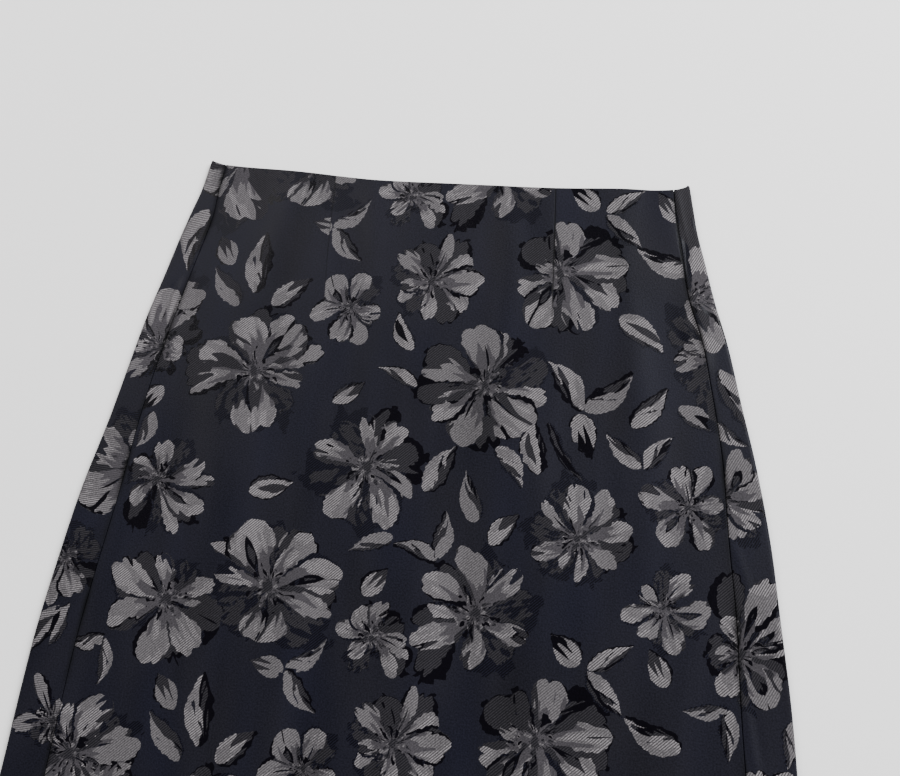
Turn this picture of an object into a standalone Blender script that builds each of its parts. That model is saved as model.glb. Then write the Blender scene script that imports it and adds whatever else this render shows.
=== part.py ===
"""An a-line skirt that lies flat on its back, waist to the back (+Y), face up (+Z).

Two panels make the tube of the skirt.  The front panel ends at the side seams,
which lie a little inside the flat outline.  The back panel turns up round both
side folds and shows as a strip outside each seam.  Two darts shape the front
waist, and a concealed zip lies under the right-hand seam.

The tables and sizes below are in millimetres.  A "drop" is a distance down the
skirt from the waist line, and "across" runs from left (-) to right (+).
"""

import math

import bmesh
import bpy

MM = 0.001

# Driving sizes
LENGTH = 600.0            # waist line to hem, down the middle of the front
CLOTH = 1.2               # wall of the cloth
SEAM_GAP = 0.3            # clearance between pieces that are sewn together
FOLD_RADIUS = 1.6         # middle of the wall, round the side folds
FOLD_OUTSIDE = FOLD_RADIUS + CLOTH / 2.0
EDGE_FADE = 10.0          # how far from a side fold the cloth starts to undulate
HEM_RISE = 9.0            # how much higher the hem's ends lie than its middle
BACK_WAIST_DIP = 1.5      # the back waist edge lies this much below the front one

ZIP_LENGTH = 205.0        # tape, from just under the waist edge
ZIP_TOP = 4.0             # start of the tape below the waist edge
TAPE = 1.0                # wall of the zip tape
TAPE_INNER = 8.0          # tape on the front panel's side of the seam
TAPE_OUTER = 5.5          # tape on the strip's side of the seam
SLIDER_TOP = 10.0         # top of the slider below the waist line
SLIDER_BODY = (5.6, 8.5, 1.3)
SLIDER_BEVEL = 0.35
PULL_TAB = (4.2, 17.0, 0.9)
TAB_BEVEL = 0.3
TAB_ACROSS = 1.0          # the tab hangs a little outside the slider's middle
TAB_IN_BODY = 1.5         # how far the tab runs into the slider
TAB_LIFT = 0.1            # the tab lies a little above the slider's base

# Rows down the skirt: close together where the hip curves, wider below
UPPER_ROWS = 9
UPPER_STEP = 16.0
LOWER_ROWS = 15

# Columns between the front panel's seams and darts
SEAM_COLUMNS = 2
SIDE_COLUMNS = 6
MIDDLE_COLUMNS = 12
DART_HALF_WIDTH = 3.0

# Columns of the back panel
STRIP_COLUMNS = 3
FOLD_STEPS = 6
UNDERSIDE_COLUMNS = 10

# Flat outline and side seams
OUTLINE_COLUMNS = ("drop", "left_fold", "left_seam", "right_seam", "right_fold")
OUTLINE = (
    (-10.0, -176.0, -163.8, 163.0, 174.0),
    (0.0, -178.0, -165.2, 165.2, 176.6),
    (20.0, -181.5, -167.6, 167.6, 180.4),
    (40.0, -187.3, -168.9, 170.5, 184.2),
    (60.0, -192.7, -172.8, 174.4, 189.6),
    (90.0, -200.0, -179.8, 180.2, 197.6),
    (120.0, -207.8, -186.0, 190.0, 207.0),
    (160.0, -215.8, -194.3, 198.6, 216.8),
    (200.0, -223.6, -200.4, 205.6, 227.0),
    (250.0, -235.0, -206.0, 210.8, 237.2),
    (300.0, -243.2, -212.8, 216.8, 244.4),
    (350.0, -250.0, -218.8, 220.6, 251.4),
    (400.0, -253.9, -222.4, 225.4, 256.4),
    (440.0, -256.4, -224.8, 229.0, 259.8),
    (520.0, -263.4, -230.0, 234.4, 266.0),
    (600.0, -270.0, -235.0, 239.4, 272.0),
)

# Drop of the waist edge, by share of the half width
WAIST_EDGE_COLUMNS = ("share", "drop")
WAIST_EDGE = (
    (-1.00, -3.8),
    (-0.92, -0.4),
    (-0.60, 3.0),
    (-0.27, 7.6),
    (0.11, 8.7),
    (0.47, 9.3),
    (0.72, 8.2),
    (0.93, 8.4),
    (1.00, 4.2),
)

# Dart lines, carried on below their tips as plain columns of the panel
DART_COLUMNS = ("drop", "left", "right")
DART_LINES = (
    (0.0, -79.2, 83.2),
    (60.0, -78.2, 85.6),
    (122.0, -75.8, 87.8),
    (300.0, -84.0, 92.0),
    (600.0, -96.0, 102.0),
)
DART_TIP = 122.0
DART_DEPTH = 0.9
DART_FADE = 60.0          # length over which the dart's trough dies away to its tip

# Clearance between the right seam's edges, which part a little over the zip
ZIP_SLIT_COLUMNS = ("drop", "gap")
ZIP_SLIT = (
    (0.0, SEAM_GAP),
    (18.0, 0.5),
    (34.0, 1.3),
    (56.0, 1.5),
    (78.0, 0.6),
    (96.0, SEAM_GAP),
)

# Soft undulations of the front layer.  The reach is a bell's half width.
SOFT_FOLD_FADE = 0.25     # share of a fold's length over which each end dies away
SOFT_FOLD_COLUMNS = ("top_across", "end_across", "starts", "ends", "rise", "reach")
SOFT_FOLDS = (
    (-118.0, -150.0, -40.0, 330.0, 0.8, 18.0),
    (-76.0, -112.0, 90.0, 640.0, 1.0, 22.0),
    (-48.0, -58.0, 40.0, 470.0, -0.6, 19.0),
    (-6.0, -22.0, -60.0, 660.0, 0.9, 25.0),
    (38.0, 44.0, 120.0, 640.0, -0.6, 17.0),
    (88.0, 112.0, 95.0, 650.0, 1.1, 23.0),
    (136.0, 178.0, 10.0, 440.0, 0.7, 16.0),
    (-150.0, -196.0, 250.0, 640.0, 0.7, 17.0),
    (186.0, 192.0, 84.0, 146.0, 1.0, 5.5),
    (164.0, 168.0, -40.0, 66.0, 1.3, 11.0),
)

CLOTH_COLOUR = (0.020, 0.021, 0.029, 1.0)
ZIP_COLOUR = (0.012, 0.012, 0.016, 1.0)
SLIDER_COLOUR = (0.05, 0.05, 0.055, 1.0)


def read_table(rows, names, column, at):
    """Read one column at a value of the first column, along a smooth curve."""
    index = names.index(column)
    keys = [row[0] for row in rows]
    values = [row[index] for row in rows]
    if at <= keys[0]:
        return values[0]
    if at >= keys[-1]:
        return values[-1]
    span = max(i for i, key in enumerate(keys[:-1]) if key <= at)
    low, high = keys[span], keys[span + 1]
    step = high - low

    def slope(i):
        before, after = max(i - 1, 0), min(i + 1, len(keys) - 1)
        return (values[after] - values[before]) / (keys[after] - keys[before])

    t = (at - low) / step
    rise = t * t * (3.0 - 2.0 * t)
    leave = t * (1.0 - t) ** 2 * step * slope(span)
    arrive = t * t * (t - 1.0) * step * slope(span + 1)
    return values[span] + (values[span + 1] - values[span]) * rise + leave + arrive


def outline(column, drop):
    return read_table(OUTLINE, OUTLINE_COLUMNS, column, drop)


def smooth(value):
    """Ease from 0 to 1 as the value does."""
    t = min(max(value, 0.0), 1.0)
    return t * t * (3.0 - 2.0 * t)


def blend(start, end, share):
    return start + (end - start) * share


def drop_at(share, run, extra=0.0):
    """Drop of a point that is `run` of the way from the waist edge to the hem."""
    waist = read_table(WAIST_EDGE, WAIST_EDGE_COLUMNS, "drop", share) + extra
    hem = LENGTH - HEM_RISE * share * share
    return blend(waist, hem, run)


def half_gap(side, drop):
    """How far each panel's edge keeps from the middle of its side seam."""
    if side == "left":
        return SEAM_GAP / 2.0
    return read_table(ZIP_SLIT, ZIP_SLIT_COLUMNS, "gap", drop) / 2.0


def top_height(across, drop):
    """Height of the middle of the upper layer's wall above the floor."""
    left = outline("left_fold", drop)
    right = outline("right_fold", drop)
    inside = min(across - left, right - across) - FOLD_RADIUS
    height = 0.0
    for top_across, end_across, starts, ends, rise, reach in SOFT_FOLDS:
        run = (drop - starts) / (ends - starts)
        if 0.0 < run < 1.0:
            middle = blend(top_across, end_across, run)
            bell = math.exp(-((across - middle) / reach) ** 2)
            ends_fade = smooth(run / SOFT_FOLD_FADE) * smooth((1.0 - run) / SOFT_FOLD_FADE)
            height += rise * bell * ends_fade
    height *= smooth(inside / EDGE_FADE)
    for side in ("left", "right"):
        line = read_table(DART_LINES, DART_COLUMNS, side, drop)
        if abs(across - line) < DART_HALF_WIDTH and drop < DART_TIP:
            groove = 1.0 - abs(across - line) / DART_HALF_WIDTH
            height -= DART_DEPTH * groove * smooth((DART_TIP - drop) / DART_FADE)
    return CLOTH / 2.0 + 2.0 * FOLD_RADIUS + height


def centre_shift():
    """Middle of the flat outline, which becomes the part's origin."""
    left = outline("left_fold", drop_at(-1.0, 1.0))
    right = outline("right_fold", drop_at(1.0, 1.0))
    return (left + right) / 2.0, (drop_at(-1.0, 0.0) + LENGTH) / 2.0


def place(across, drop, height):
    """A point of the skirt in the part's frame, in metres."""
    shift_across, shift_drop = centre_shift()
    return ((across - shift_across) * MM, (shift_drop - drop) * MM, height * MM)


def row_runs():
    """Share of the length at each row, from the waist edge to the hem."""
    upper = [row * UPPER_STEP for row in range(UPPER_ROWS)]
    left_over = LENGTH - upper[-1]
    lower = [upper[-1] + left_over * (row + 1) / LOWER_ROWS for row in range(LOWER_ROWS)]
    return [drop / LENGTH for drop in upper + lower]


def front_columns(drop):
    """Positions across the front panel, with a column on each dart line."""
    left_dart = read_table(DART_LINES, DART_COLUMNS, "left", drop)
    right_dart = read_table(DART_LINES, DART_COLUMNS, "right", drop)
    left_seam = outline("left_seam", drop)
    right_seam = outline("right_seam", drop)
    stations = (
        (left_seam + half_gap("left", drop), SEAM_COLUMNS),
        (left_seam + TAPE_INNER, SIDE_COLUMNS),
        (left_dart - DART_HALF_WIDTH, 1),
        (left_dart, 1),
        (left_dart + DART_HALF_WIDTH, MIDDLE_COLUMNS),
        (right_dart - DART_HALF_WIDTH, 1),
        (right_dart, 1),
        (right_dart + DART_HALF_WIDTH, SIDE_COLUMNS),
        (right_seam - TAPE_INNER, SEAM_COLUMNS),
        (right_seam - half_gap("right", drop), 0),
    )
    columns = []
    for (start, spans), (end, _) in zip(stations, stations[1:]):
        columns += [blend(start, end, step / spans) for step in range(spans)]
    return columns + [stations[-1][0]]


def front_row(run):
    """Middle of the front panel's wall across one row."""
    nominal = run * LENGTH
    half_width = outline("right_fold", nominal)
    points = []
    for index, across in enumerate(front_columns(nominal)):
        drop = drop_at(across / half_width, run)
        across = front_columns(drop)[index]
        points.append(place(across, drop, top_height(across, drop)))
    return points


def strip_points(side, run):
    """The back panel's strip on the face, from its seam out to its side fold."""
    sign = -1.0 if side == "left" else 1.0
    nominal = run * LENGTH
    points = []
    for step in range(STRIP_COLUMNS):
        out = step / STRIP_COLUMNS
        drop = nominal
        for _ in range(2):
            seam = outline(side + "_seam", drop) + sign * half_gap(side, drop)
            fold = outline(side + "_fold", drop) - sign * FOLD_OUTSIDE
            across = blend(seam, fold, out)
            drop = drop_at(across / abs(outline(side + "_fold", drop)), run)
        points.append(place(across, drop, top_height(across, drop)))
    return points


def fold_points(side, run):
    """Half a turn round a side fold, from the upper layer to the underside."""
    sign = -1.0 if side == "left" else 1.0
    drop = drop_at(sign, run)
    centre = outline(side + "_fold", drop) - sign * FOLD_OUTSIDE
    points = []
    for step in range(FOLD_STEPS + 1):
        turn = math.pi * step / FOLD_STEPS
        across = centre + sign * FOLD_RADIUS * math.sin(turn)
        height = CLOTH / 2.0 + FOLD_RADIUS * (1.0 + math.cos(turn))
        points.append(place(across, drop, height))
    return points


def underside_points(run):
    """The back panel where it lies on the floor, from left fold to right fold."""
    left = outline("left_fold", drop_at(-1.0, run)) + FOLD_OUTSIDE
    right = outline("right_fold", drop_at(1.0, run)) - FOLD_OUTSIDE
    points = []
    for step in range(1, UNDERSIDE_COLUMNS):
        across = blend(left, right, step / UNDERSIDE_COLUMNS)
        share = blend(-1.0, 1.0, step / UNDERSIDE_COLUMNS)
        dip = BACK_WAIST_DIP * (1.0 - share * share)
        points.append(place(across, drop_at(share, run, dip), CLOTH / 2.0))
    return points


def back_row(run):
    """Middle of the back panel's wall, from the left seam round to the right one."""
    left = strip_points("left", run) + fold_points("left", run)
    right = strip_points("right", run) + fold_points("right", run)
    return left + underside_points(run) + right[::-1]


def tape_runs():
    """The tape's rows: its two ends, and the panel's own rows between them."""
    start = ZIP_TOP / LENGTH
    end = (ZIP_TOP + ZIP_LENGTH) / LENGTH
    return [start] + [run for run in row_runs() if start < run < end] + [end]


def tape_row(run):
    """Middle of the zip tape's wall, made from the layer above it, moved in."""
    nominal = run * LENGTH
    drop = drop_at(outline("right_seam", nominal) / outline("right_fold", nominal), run)
    seam = outline("right_seam", drop)
    below = CLOTH / 2.0 + SEAM_GAP + TAPE / 2.0
    offsets = (-TAPE_INNER, -TAPE_INNER / 2.0, 0.0, TAPE_OUTER / 2.0, TAPE_OUTER)
    return [
        place(seam + offset, drop, top_height(seam + offset, drop) - below)
        for offset in offsets
    ]


def make_material(name, colour, roughness, metallic=0.0):
    material = bpy.data.materials.new(name)
    material.use_nodes = True
    shader = material.node_tree.nodes["Principled BSDF"]
    shader.inputs["Base Color"].default_value = colour
    shader.inputs["Roughness"].default_value = roughness
    shader.inputs["Metallic"].default_value = metallic
    material.diffuse_color = colour
    return material


def sheet_object(name, rows, wall, material, collection):
    """A loft through rows of points, thickened equally to both sides."""
    mesh = bpy.data.meshes.new(name)
    work = bmesh.new()
    grid = [[work.verts.new(point) for point in row] for row in rows]
    for upper, lower in zip(grid, grid[1:]):
        for column in range(len(upper) - 1):
            corners = (upper[column], lower[column], lower[column + 1], upper[column + 1])
            work.faces.new(corners)
    work.to_mesh(mesh)
    work.free()
    mesh.shade_smooth()
    mesh.materials.append(material)
    obj = bpy.data.objects.new(name, mesh)
    collection.objects.link(obj)
    thicken = obj.modifiers.new("wall", "SOLIDIFY")
    thicken.thickness = wall * MM
    thicken.offset = 0.0
    thicken.use_even_offset = True
    return obj


def make_panels(collection):
    cloth = make_material("cloth", CLOTH_COLOUR, 0.6)
    runs = row_runs()
    sheet_object("front_panel", [front_row(run) for run in runs], CLOTH, cloth, collection)
    back_cloth = make_material("back_cloth", CLOTH_COLOUR, 0.6)
    sheet_object("back_panel", [back_row(run) for run in runs], CLOTH, back_cloth, collection)


def make_zip_tape(collection):
    tape = make_material("zip_tape", ZIP_COLOUR, 0.75)
    rows = [tape_row(run) for run in tape_runs()]
    sheet_object("zip_tape", rows, TAPE, tape, collection)


def rounded_block(name, size, centre, bevel):
    """A box with rounded edges; size and centre in millimetres of the part's frame."""
    bpy.ops.mesh.primitive_cube_add(size=1.0, location=centre)
    block = bpy.context.object
    block.name = name
    block.data.name = name
    block.scale = [length * MM for length in size]
    bpy.ops.object.transform_apply(location=False, rotation=False, scale=True)
    round_edges = block.modifiers.new("round_edges", "BEVEL")
    round_edges.width = bevel * MM
    round_edges.segments = 2
    return block


def make_slider(collection, cutters):
    """Slider body with its pull tab hanging down, inside the right seam."""
    metal = make_material("slider_metal", SLIDER_COLOUR, 0.4, 1.0)
    width, length, depth = SLIDER_BODY
    seam = outline("right_seam", SLIDER_TOP)
    floor_gap = CLOTH + SEAM_GAP
    height = floor_gap + depth / 2.0
    body_drop = SLIDER_TOP + length / 2.0
    tab_drop = SLIDER_TOP + length - TAB_IN_BODY + PULL_TAB[1] / 2.0
    tab_height = floor_gap + TAB_LIFT + PULL_TAB[2] / 2.0
    body_place = place(seam, body_drop, height)
    tab_place = place(seam + TAB_ACROSS, tab_drop, tab_height)
    body = rounded_block("zip_slider", SLIDER_BODY, body_place, SLIDER_BEVEL)
    tab = rounded_block("pull_tab", PULL_TAB, tab_place, TAB_BEVEL)
    for block, home in ((body, collection), (tab, cutters)):
        for old_home in list(block.users_collection):
            old_home.objects.unlink(block)
        home.objects.link(block)
    tab.hide_render = True
    tab.display_type = "WIRE"
    join = body.modifiers.new("join_tab", "BOOLEAN")
    join.operation = "UNION"
    join.object = tab
    body.data.materials.append(metal)
    body.data.shade_smooth()
    body.data.set_sharp_from_angle(angle=math.radians(40.0))


def main():
    for old in list(bpy.data.objects):
        bpy.data.objects.remove(old, do_unlink=True)
    skirt = bpy.data.collections.new("a_line_skirt")
    cutters = bpy.data.collections.new("cutters")
    for collection in (skirt, cutters):
        bpy.context.scene.collection.children.link(collection)
    make_panels(skirt)
    make_zip_tape(skirt)
    make_slider(skirt, cutters)


main()
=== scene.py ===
"""Looks of an a-line skirt in flowered jacquard that lies flat on its back.

Everything is placed in the part's own frame: +X to the right, +Y to the waist,
+Z up, with the floor at z = 0.  The tables are in millimetres.  A "drop" is a
distance down the skirt from the waist line, and "across" runs from left (-) to
right (+).  The cloth is a thin shell whose outer face lies on the part's own.
"""

import math

import bpy
import numpy as np
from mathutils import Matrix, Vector


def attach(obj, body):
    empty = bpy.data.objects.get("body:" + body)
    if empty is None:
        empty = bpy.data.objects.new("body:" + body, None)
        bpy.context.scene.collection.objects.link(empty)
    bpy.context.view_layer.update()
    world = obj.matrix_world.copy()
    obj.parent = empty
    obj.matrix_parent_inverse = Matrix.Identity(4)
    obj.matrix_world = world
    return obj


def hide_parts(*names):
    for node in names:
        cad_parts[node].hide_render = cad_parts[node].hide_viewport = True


bl_info = {
    "name": "A-line skirt",
    "version": (1, 0, 0),
    "blender": (4, 5, 0),
    "location": "View3D > Sidebar > Skirt",
    "description": "Builds a flowered jacquard skirt, its concealed zip and a plain stage",
    "category": "Object",
}

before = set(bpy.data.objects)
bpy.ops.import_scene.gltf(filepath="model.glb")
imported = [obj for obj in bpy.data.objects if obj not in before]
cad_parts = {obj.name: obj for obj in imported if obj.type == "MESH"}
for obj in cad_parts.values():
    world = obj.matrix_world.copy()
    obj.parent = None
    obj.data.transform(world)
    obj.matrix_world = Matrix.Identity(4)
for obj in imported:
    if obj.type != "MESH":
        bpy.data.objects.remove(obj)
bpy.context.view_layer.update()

MM = 0.001

# ---- cut of the skirt
LENGTH = 600.0            # waist line to hem, down the middle of the front
CLOTH = 1.2               # wall of the part, and of a turned edge of the cloth
SEAM_GAP = 0.3            # clearance between pieces that are sewn together
FOLD_RADIUS = 1.6         # middle of the part's wall, round the side folds
FOLD_OUTSIDE = FOLD_RADIUS + CLOTH / 2.0
HALF_TURN = FOLD_OUTSIDE * math.pi  # way round a side fold, on its outside
EDGE_FADE = 10.0          # how far from a side fold the cloth starts to undulate
HEM_RISE = 9.0            # how much higher the hem's ends lie than its middle
BACK_WAIST_DIP = 1.5      # the back waist edge lies this much below the front one
SLOW_WAVE = 0.10          # height of the pressed cloth's slight unevenness
QUICK_WAVE = 0.025
SINK_LIMIT = CLOTH - 0.2  # an edge turns down no deeper than this
SIGNS = {"left": -1.0, "right": 1.0}  # of across, on each side

OUTLINE_COLUMNS = ("drop", "left_fold", "left_seam", "right_seam", "right_fold")
OUTLINE = (
    (-10, -176, -163.8, 163, 174),
    (0, -178, -165.2, 165.2, 176.6),
    (20, -181.5, -167.6, 167.6, 180.4),
    (40, -187.3, -168.9, 170.5, 184.2),
    (60, -192.7, -172.8, 174.4, 189.6),
    (90, -200, -179.8, 180.2, 197.6),
    (120, -207.8, -186, 190, 207),
    (160, -215.8, -194.3, 198.6, 216.8),
    (200, -223.6, -200.4, 205.6, 227),
    (250, -235, -206, 210.8, 237.2),
    (300, -243.2, -212.8, 216.8, 244.4),
    (350, -250, -218.8, 220.6, 251.4),
    (400, -253.9, -222.4, 225.4, 256.4),
    (440, -256.4, -224.8, 229, 259.8),
    (520, -263.4, -230, 234.4, 266),
    (600, -270, -235, 239.4, 272),
)

WAIST_EDGE_COLUMNS = ("share", "drop")
WAIST_EDGE = (
    (-1.00, -3.8),
    (-0.92, -0.4),
    (-0.60, 3),
    (-0.27, 7.6),
    (0.11, 8.7),
    (0.47, 9.3),
    (0.72, 8.2),
    (0.93, 8.4),
    (1.00, 4.2),
)

DART_COLUMNS = ("drop", "left", "right")
DART_LINES = (
    (0, -79.2, 83.2),
    (60, -78.2, 85.6),
    (122, -75.8, 87.8),
    (300, -84, 92),
    (600, -96, 102),
)
DART_TIP = 122.0
DART_SOFTNESS = 0.5       # how deep the left dart's line is beside the right one's, and how strong its painted shade
DART_FADE = 60.0          # length over which a dart's trough dies away to its tip
STITCH_REACH = 0.30       # width of a dart's stitched line
TROUGH_REACH = 2.6        # width of the shallow trough round it
TROUGH_DEPTH = 0.07
DEEPEST_GROOVE = 0.9      # no groove goes further down than this
DART_SHADE_REACH = 0.52   # width of the painted shade along a dart's stitched line, where shade falls in its groove
SEAM_SHADE_REACH = 2.0    # width of the painted shade beside a side seam, where shade falls in its valley
SEAM_PHASES = {"left": 0.4, "right": 2.1}  # where along each seam its painted shade is strongest
DART_INTAKE = 14.0        # cloth taken in at the waist, which cuts the pattern

ZIP_SLIT_COLUMNS = ("drop", "gap")
ZIP_SLIT = (
    (0, SEAM_GAP),
    (18, 0.5),
    (34, 1.3),
    (56, 1.5),
    (78, 0.6),
    (96, SEAM_GAP),
)

SOFT_FOLD_FADE = 0.25     # share of a fold's length over which each end dies away
# Each soft fold: across at its top and at its end, drop where it starts and ends,
# rise and reach
SOFT_FOLDS = (
    (-118, -150, -40, 330, 0.8, 18),
    (-76, -112, 90, 640, 1, 22),
    (-48, -58, 40, 470, -0.6, 19),
    (-6, -22, -60, 660, 0.9, 25),
    (38, 44, 120, 640, -0.6, 17),
    (88, 112, 95, 650, 1.1, 23),
    (136, 178, 10, 440, 0.7, 16),
    (-150, -196, 250, 640, 0.7, 17),
    (186, 192, 84, 146, 1, 5.5),
    (164, 168, -40, 66, 1.3, 11),
)

# Small creases, each along a straight line: across and drop of its start and of its
# end, rise and reach.  A rise above nothing is a ridge, and one below is a trough.
FACE_CREASES = (
    (-181, 92, -191, 138, 1, 1.7),
    (-184.6, 90, -195.2, 136, 1, 1.6),
    (-188.4, 92, -198.6, 132, -0.5, 1.6),
    (176, 96, 187.5, 140, 1.2, 2.4),
    (171.5, 104, 183, 138, -0.6, 2),
    (170.5, 10, 176.5, 52, 0.8, 1.5),
    (174.5, 34, 179, 74, -0.7, 1.3),
    (172.5, 44, 176, 70, 0.6, 1.2),
    (46, -6, 54, 150, 0.9, 11),
    (-108, -4, -114, 130, 0.8, 11),
    (132, -6, 148, 210, 0.9, 12),
    (-6, 320, 12, 470, 0.9, 13),
    (84, 190, 96, 420, 0.7, 12),
    (-50, 10, -46, 74, 0.35, 3),
    (-38, 8, -40, 60, -0.3, 2.4),
    (24, 12, 30, 66, 0.3, 3),
    (-222, 316, -242, 312, -0.7, 2.4),
    (-226, 322, -246, 319, 0.5, 3),
    (-214, 196, -224, 262, 0.4, 3.2),
    (215, 248, 226, 300, 0.4, 3),
    (222, 336, 236, 392, -0.5, 2.6),
    (226, 344, 230, 396, 0.5, 2.4),
    (-14, 352, 2, 420, 0.4, 4),
    (22, 340, 16, 412, 0.35, 4),
    (-150, 470, -160, 592, 0.5, 7),
    (140, 480, 152, 594, 0.5, 7),
    (-60, 500, -64, 594, -0.5, 8),
    (196, 500, 204, 596, -0.4, 6),
    (8, 520, 12, 596, 0.4, 8),
)
BACK_CREASES = (
    (-120, 60, -150, 330, 0.7, 16),
    (-60, 160, -80, 590, 0.6, 18),
    (0, 40, 6, 420, 0.5, 14),
    (70, 130, 92, 590, 0.8, 18),
    (130, 60, 172, 380, 0.6, 15),
    (-190, 300, -214, 590, 0.6, 14),
    (206, 330, 226, 592, 0.5, 13),
    (-24, 300, -10, 372, 0.4, 4),
    (150, 470, 142, 540, 0.4, 5),
    (-140, 420, -128, 486, 0.35, 4.5),
)
BACK_DARTS = (-84.0, 88.0)
BACK_DART_TIP = 132.0
BACK_EDGE_FADE = 14.0     # how far from a side fold the back starts to undulate

# Meshes: offsets of the rows and columns that lie close to an edge or a dart
TURNING_ROWS = (1.0, 0.66, 0.33, 0.12)  # shares of a turning, from its raw edge
NEAR_TURNED_EDGE = (0.5, 1.2, 2.2)
NEAR_FRONT_SEAM = (0.5, 1.1, 2.0, 3.2)
NEAR_BACK_SEAM = (0.5, 1.1, 2.0, 3.0)
BESIDE_FRONT_SEAM = 3.8   # where the even columns of the front start
BESIDE_BACK_SEAM = 3.6    # where the even columns of a strip start
NEAR_DART = (0.2, 0.4, 0.75, 1.4, 2.6, 4.2)
SIDE_WIDTH = 84.0         # widths that the even columns are counted from
MIDDLE_WIDTH = 154.0
STRIP_WIDTH = 26.0
BACK_WIDTH = 500.0
STRIP_FINENESS = 1.6      # columns of a strip stand this much closer
FOLD_STEPS = 12
# Bands of the flat map, from low to high, for the faces of each side of a shell
OUTER, INNER, RIM = 0, 1, 2
MAP_BANDS = ((0.16, 0.998), (0.02, 0.145), (0.002, 0.012))
MAP_MARGIN = 0.002

# ---- cut of the zip
ZIP_LENGTH = 205.0        # tape, from just under the waist edge
ZIP_TOP = 4.0             # start of the tape below the waist edge
TAPE_INNER = 8.0          # tape on the front panel's side of the seam
TAPE_OUTER = 5.5          # tape on the strip's side of the seam
TAPE_COLUMNS = (-TAPE_INNER, -6.0, -4.0, -2.2, -0.8, 0.8, 2.2, 4.0, TAPE_OUTER)
TAPE_ROW_STEP = 4.0
TAPE_PITCH = 0.0007       # between the lines of the tape's weave, in metres
COIL_TOP = 19.0           # the coil shows from under the slider
COIL_END = 6.0            # the coil ends this far above the tape's end
COIL_GAP = 0.05           # between the coil and its tape
COIL_APART = 0.30         # how far apart the two spirals lie, as a share of their reach
COIL_SIDES = 5
COIL_TURN_POINTS = 10

# ---- figure of the cloth
# One repeat of the front's cloth.  Each flower: across, drop, diameter and design.
REPEAT = (5.0, 312.0)
FRONT_FLOWERS = (
    (-20, 20, 60, "small_cross"),
    (-93, -4, 94, "wide_crown"),
    (46, 0, 85, "feathered"),
    (0, 85, 68, "windswept"),
    (91, 73, 87, "full_skirt"),
    (-56, 107, 52, "four_fans"),
    (-120, 159, 99, "broad_star"),
    (45, 158, 90, "round_star"),
    (-32, 221, 80, "pinwheel"),
    (-179, 240, 69, "leaning"),
    (114, 257, 72, "open_fan"),
    (185, 232, 56, "three_pairs"),
    (166, -15, 56, "two_sided"),
    (-214, 114, 84, "half_hidden"),
    (-193, 144, 80, "long_tongue"),
    (216, 9, 68, "curled"),
    (200, 129, 60, "seam_bloom"),
)
# Flowers that stand once, where the cut waist edge parts the repeat
LONE_FLOWERS = (
    (-160, 321, 80, "sweeping"),
    (-150, -8, 80, "drooping"),
)
# Flowers of the back's cloth where it shows on the face beside each seam
STRIP_FLOWERS = (
    (-150, -2, 66, "banner"),
    (-193, 144, 80, "long_tongue"),
    (-196, 231, 86, "banner"),
    (-236, 298, 60, "edge_pair"),
    (-226, 407, 60, "thin_petals"),
    (-236, 505, 84, "broad_star"),
    (181, 88, 72, "ribbon"),
    (203, 224, 66, "gathered"),
    (219, 321, 68, "curled"),
    (238, 420, 64, "three_pairs"),
    (246, 520, 76, "gathered"),
)

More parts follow.
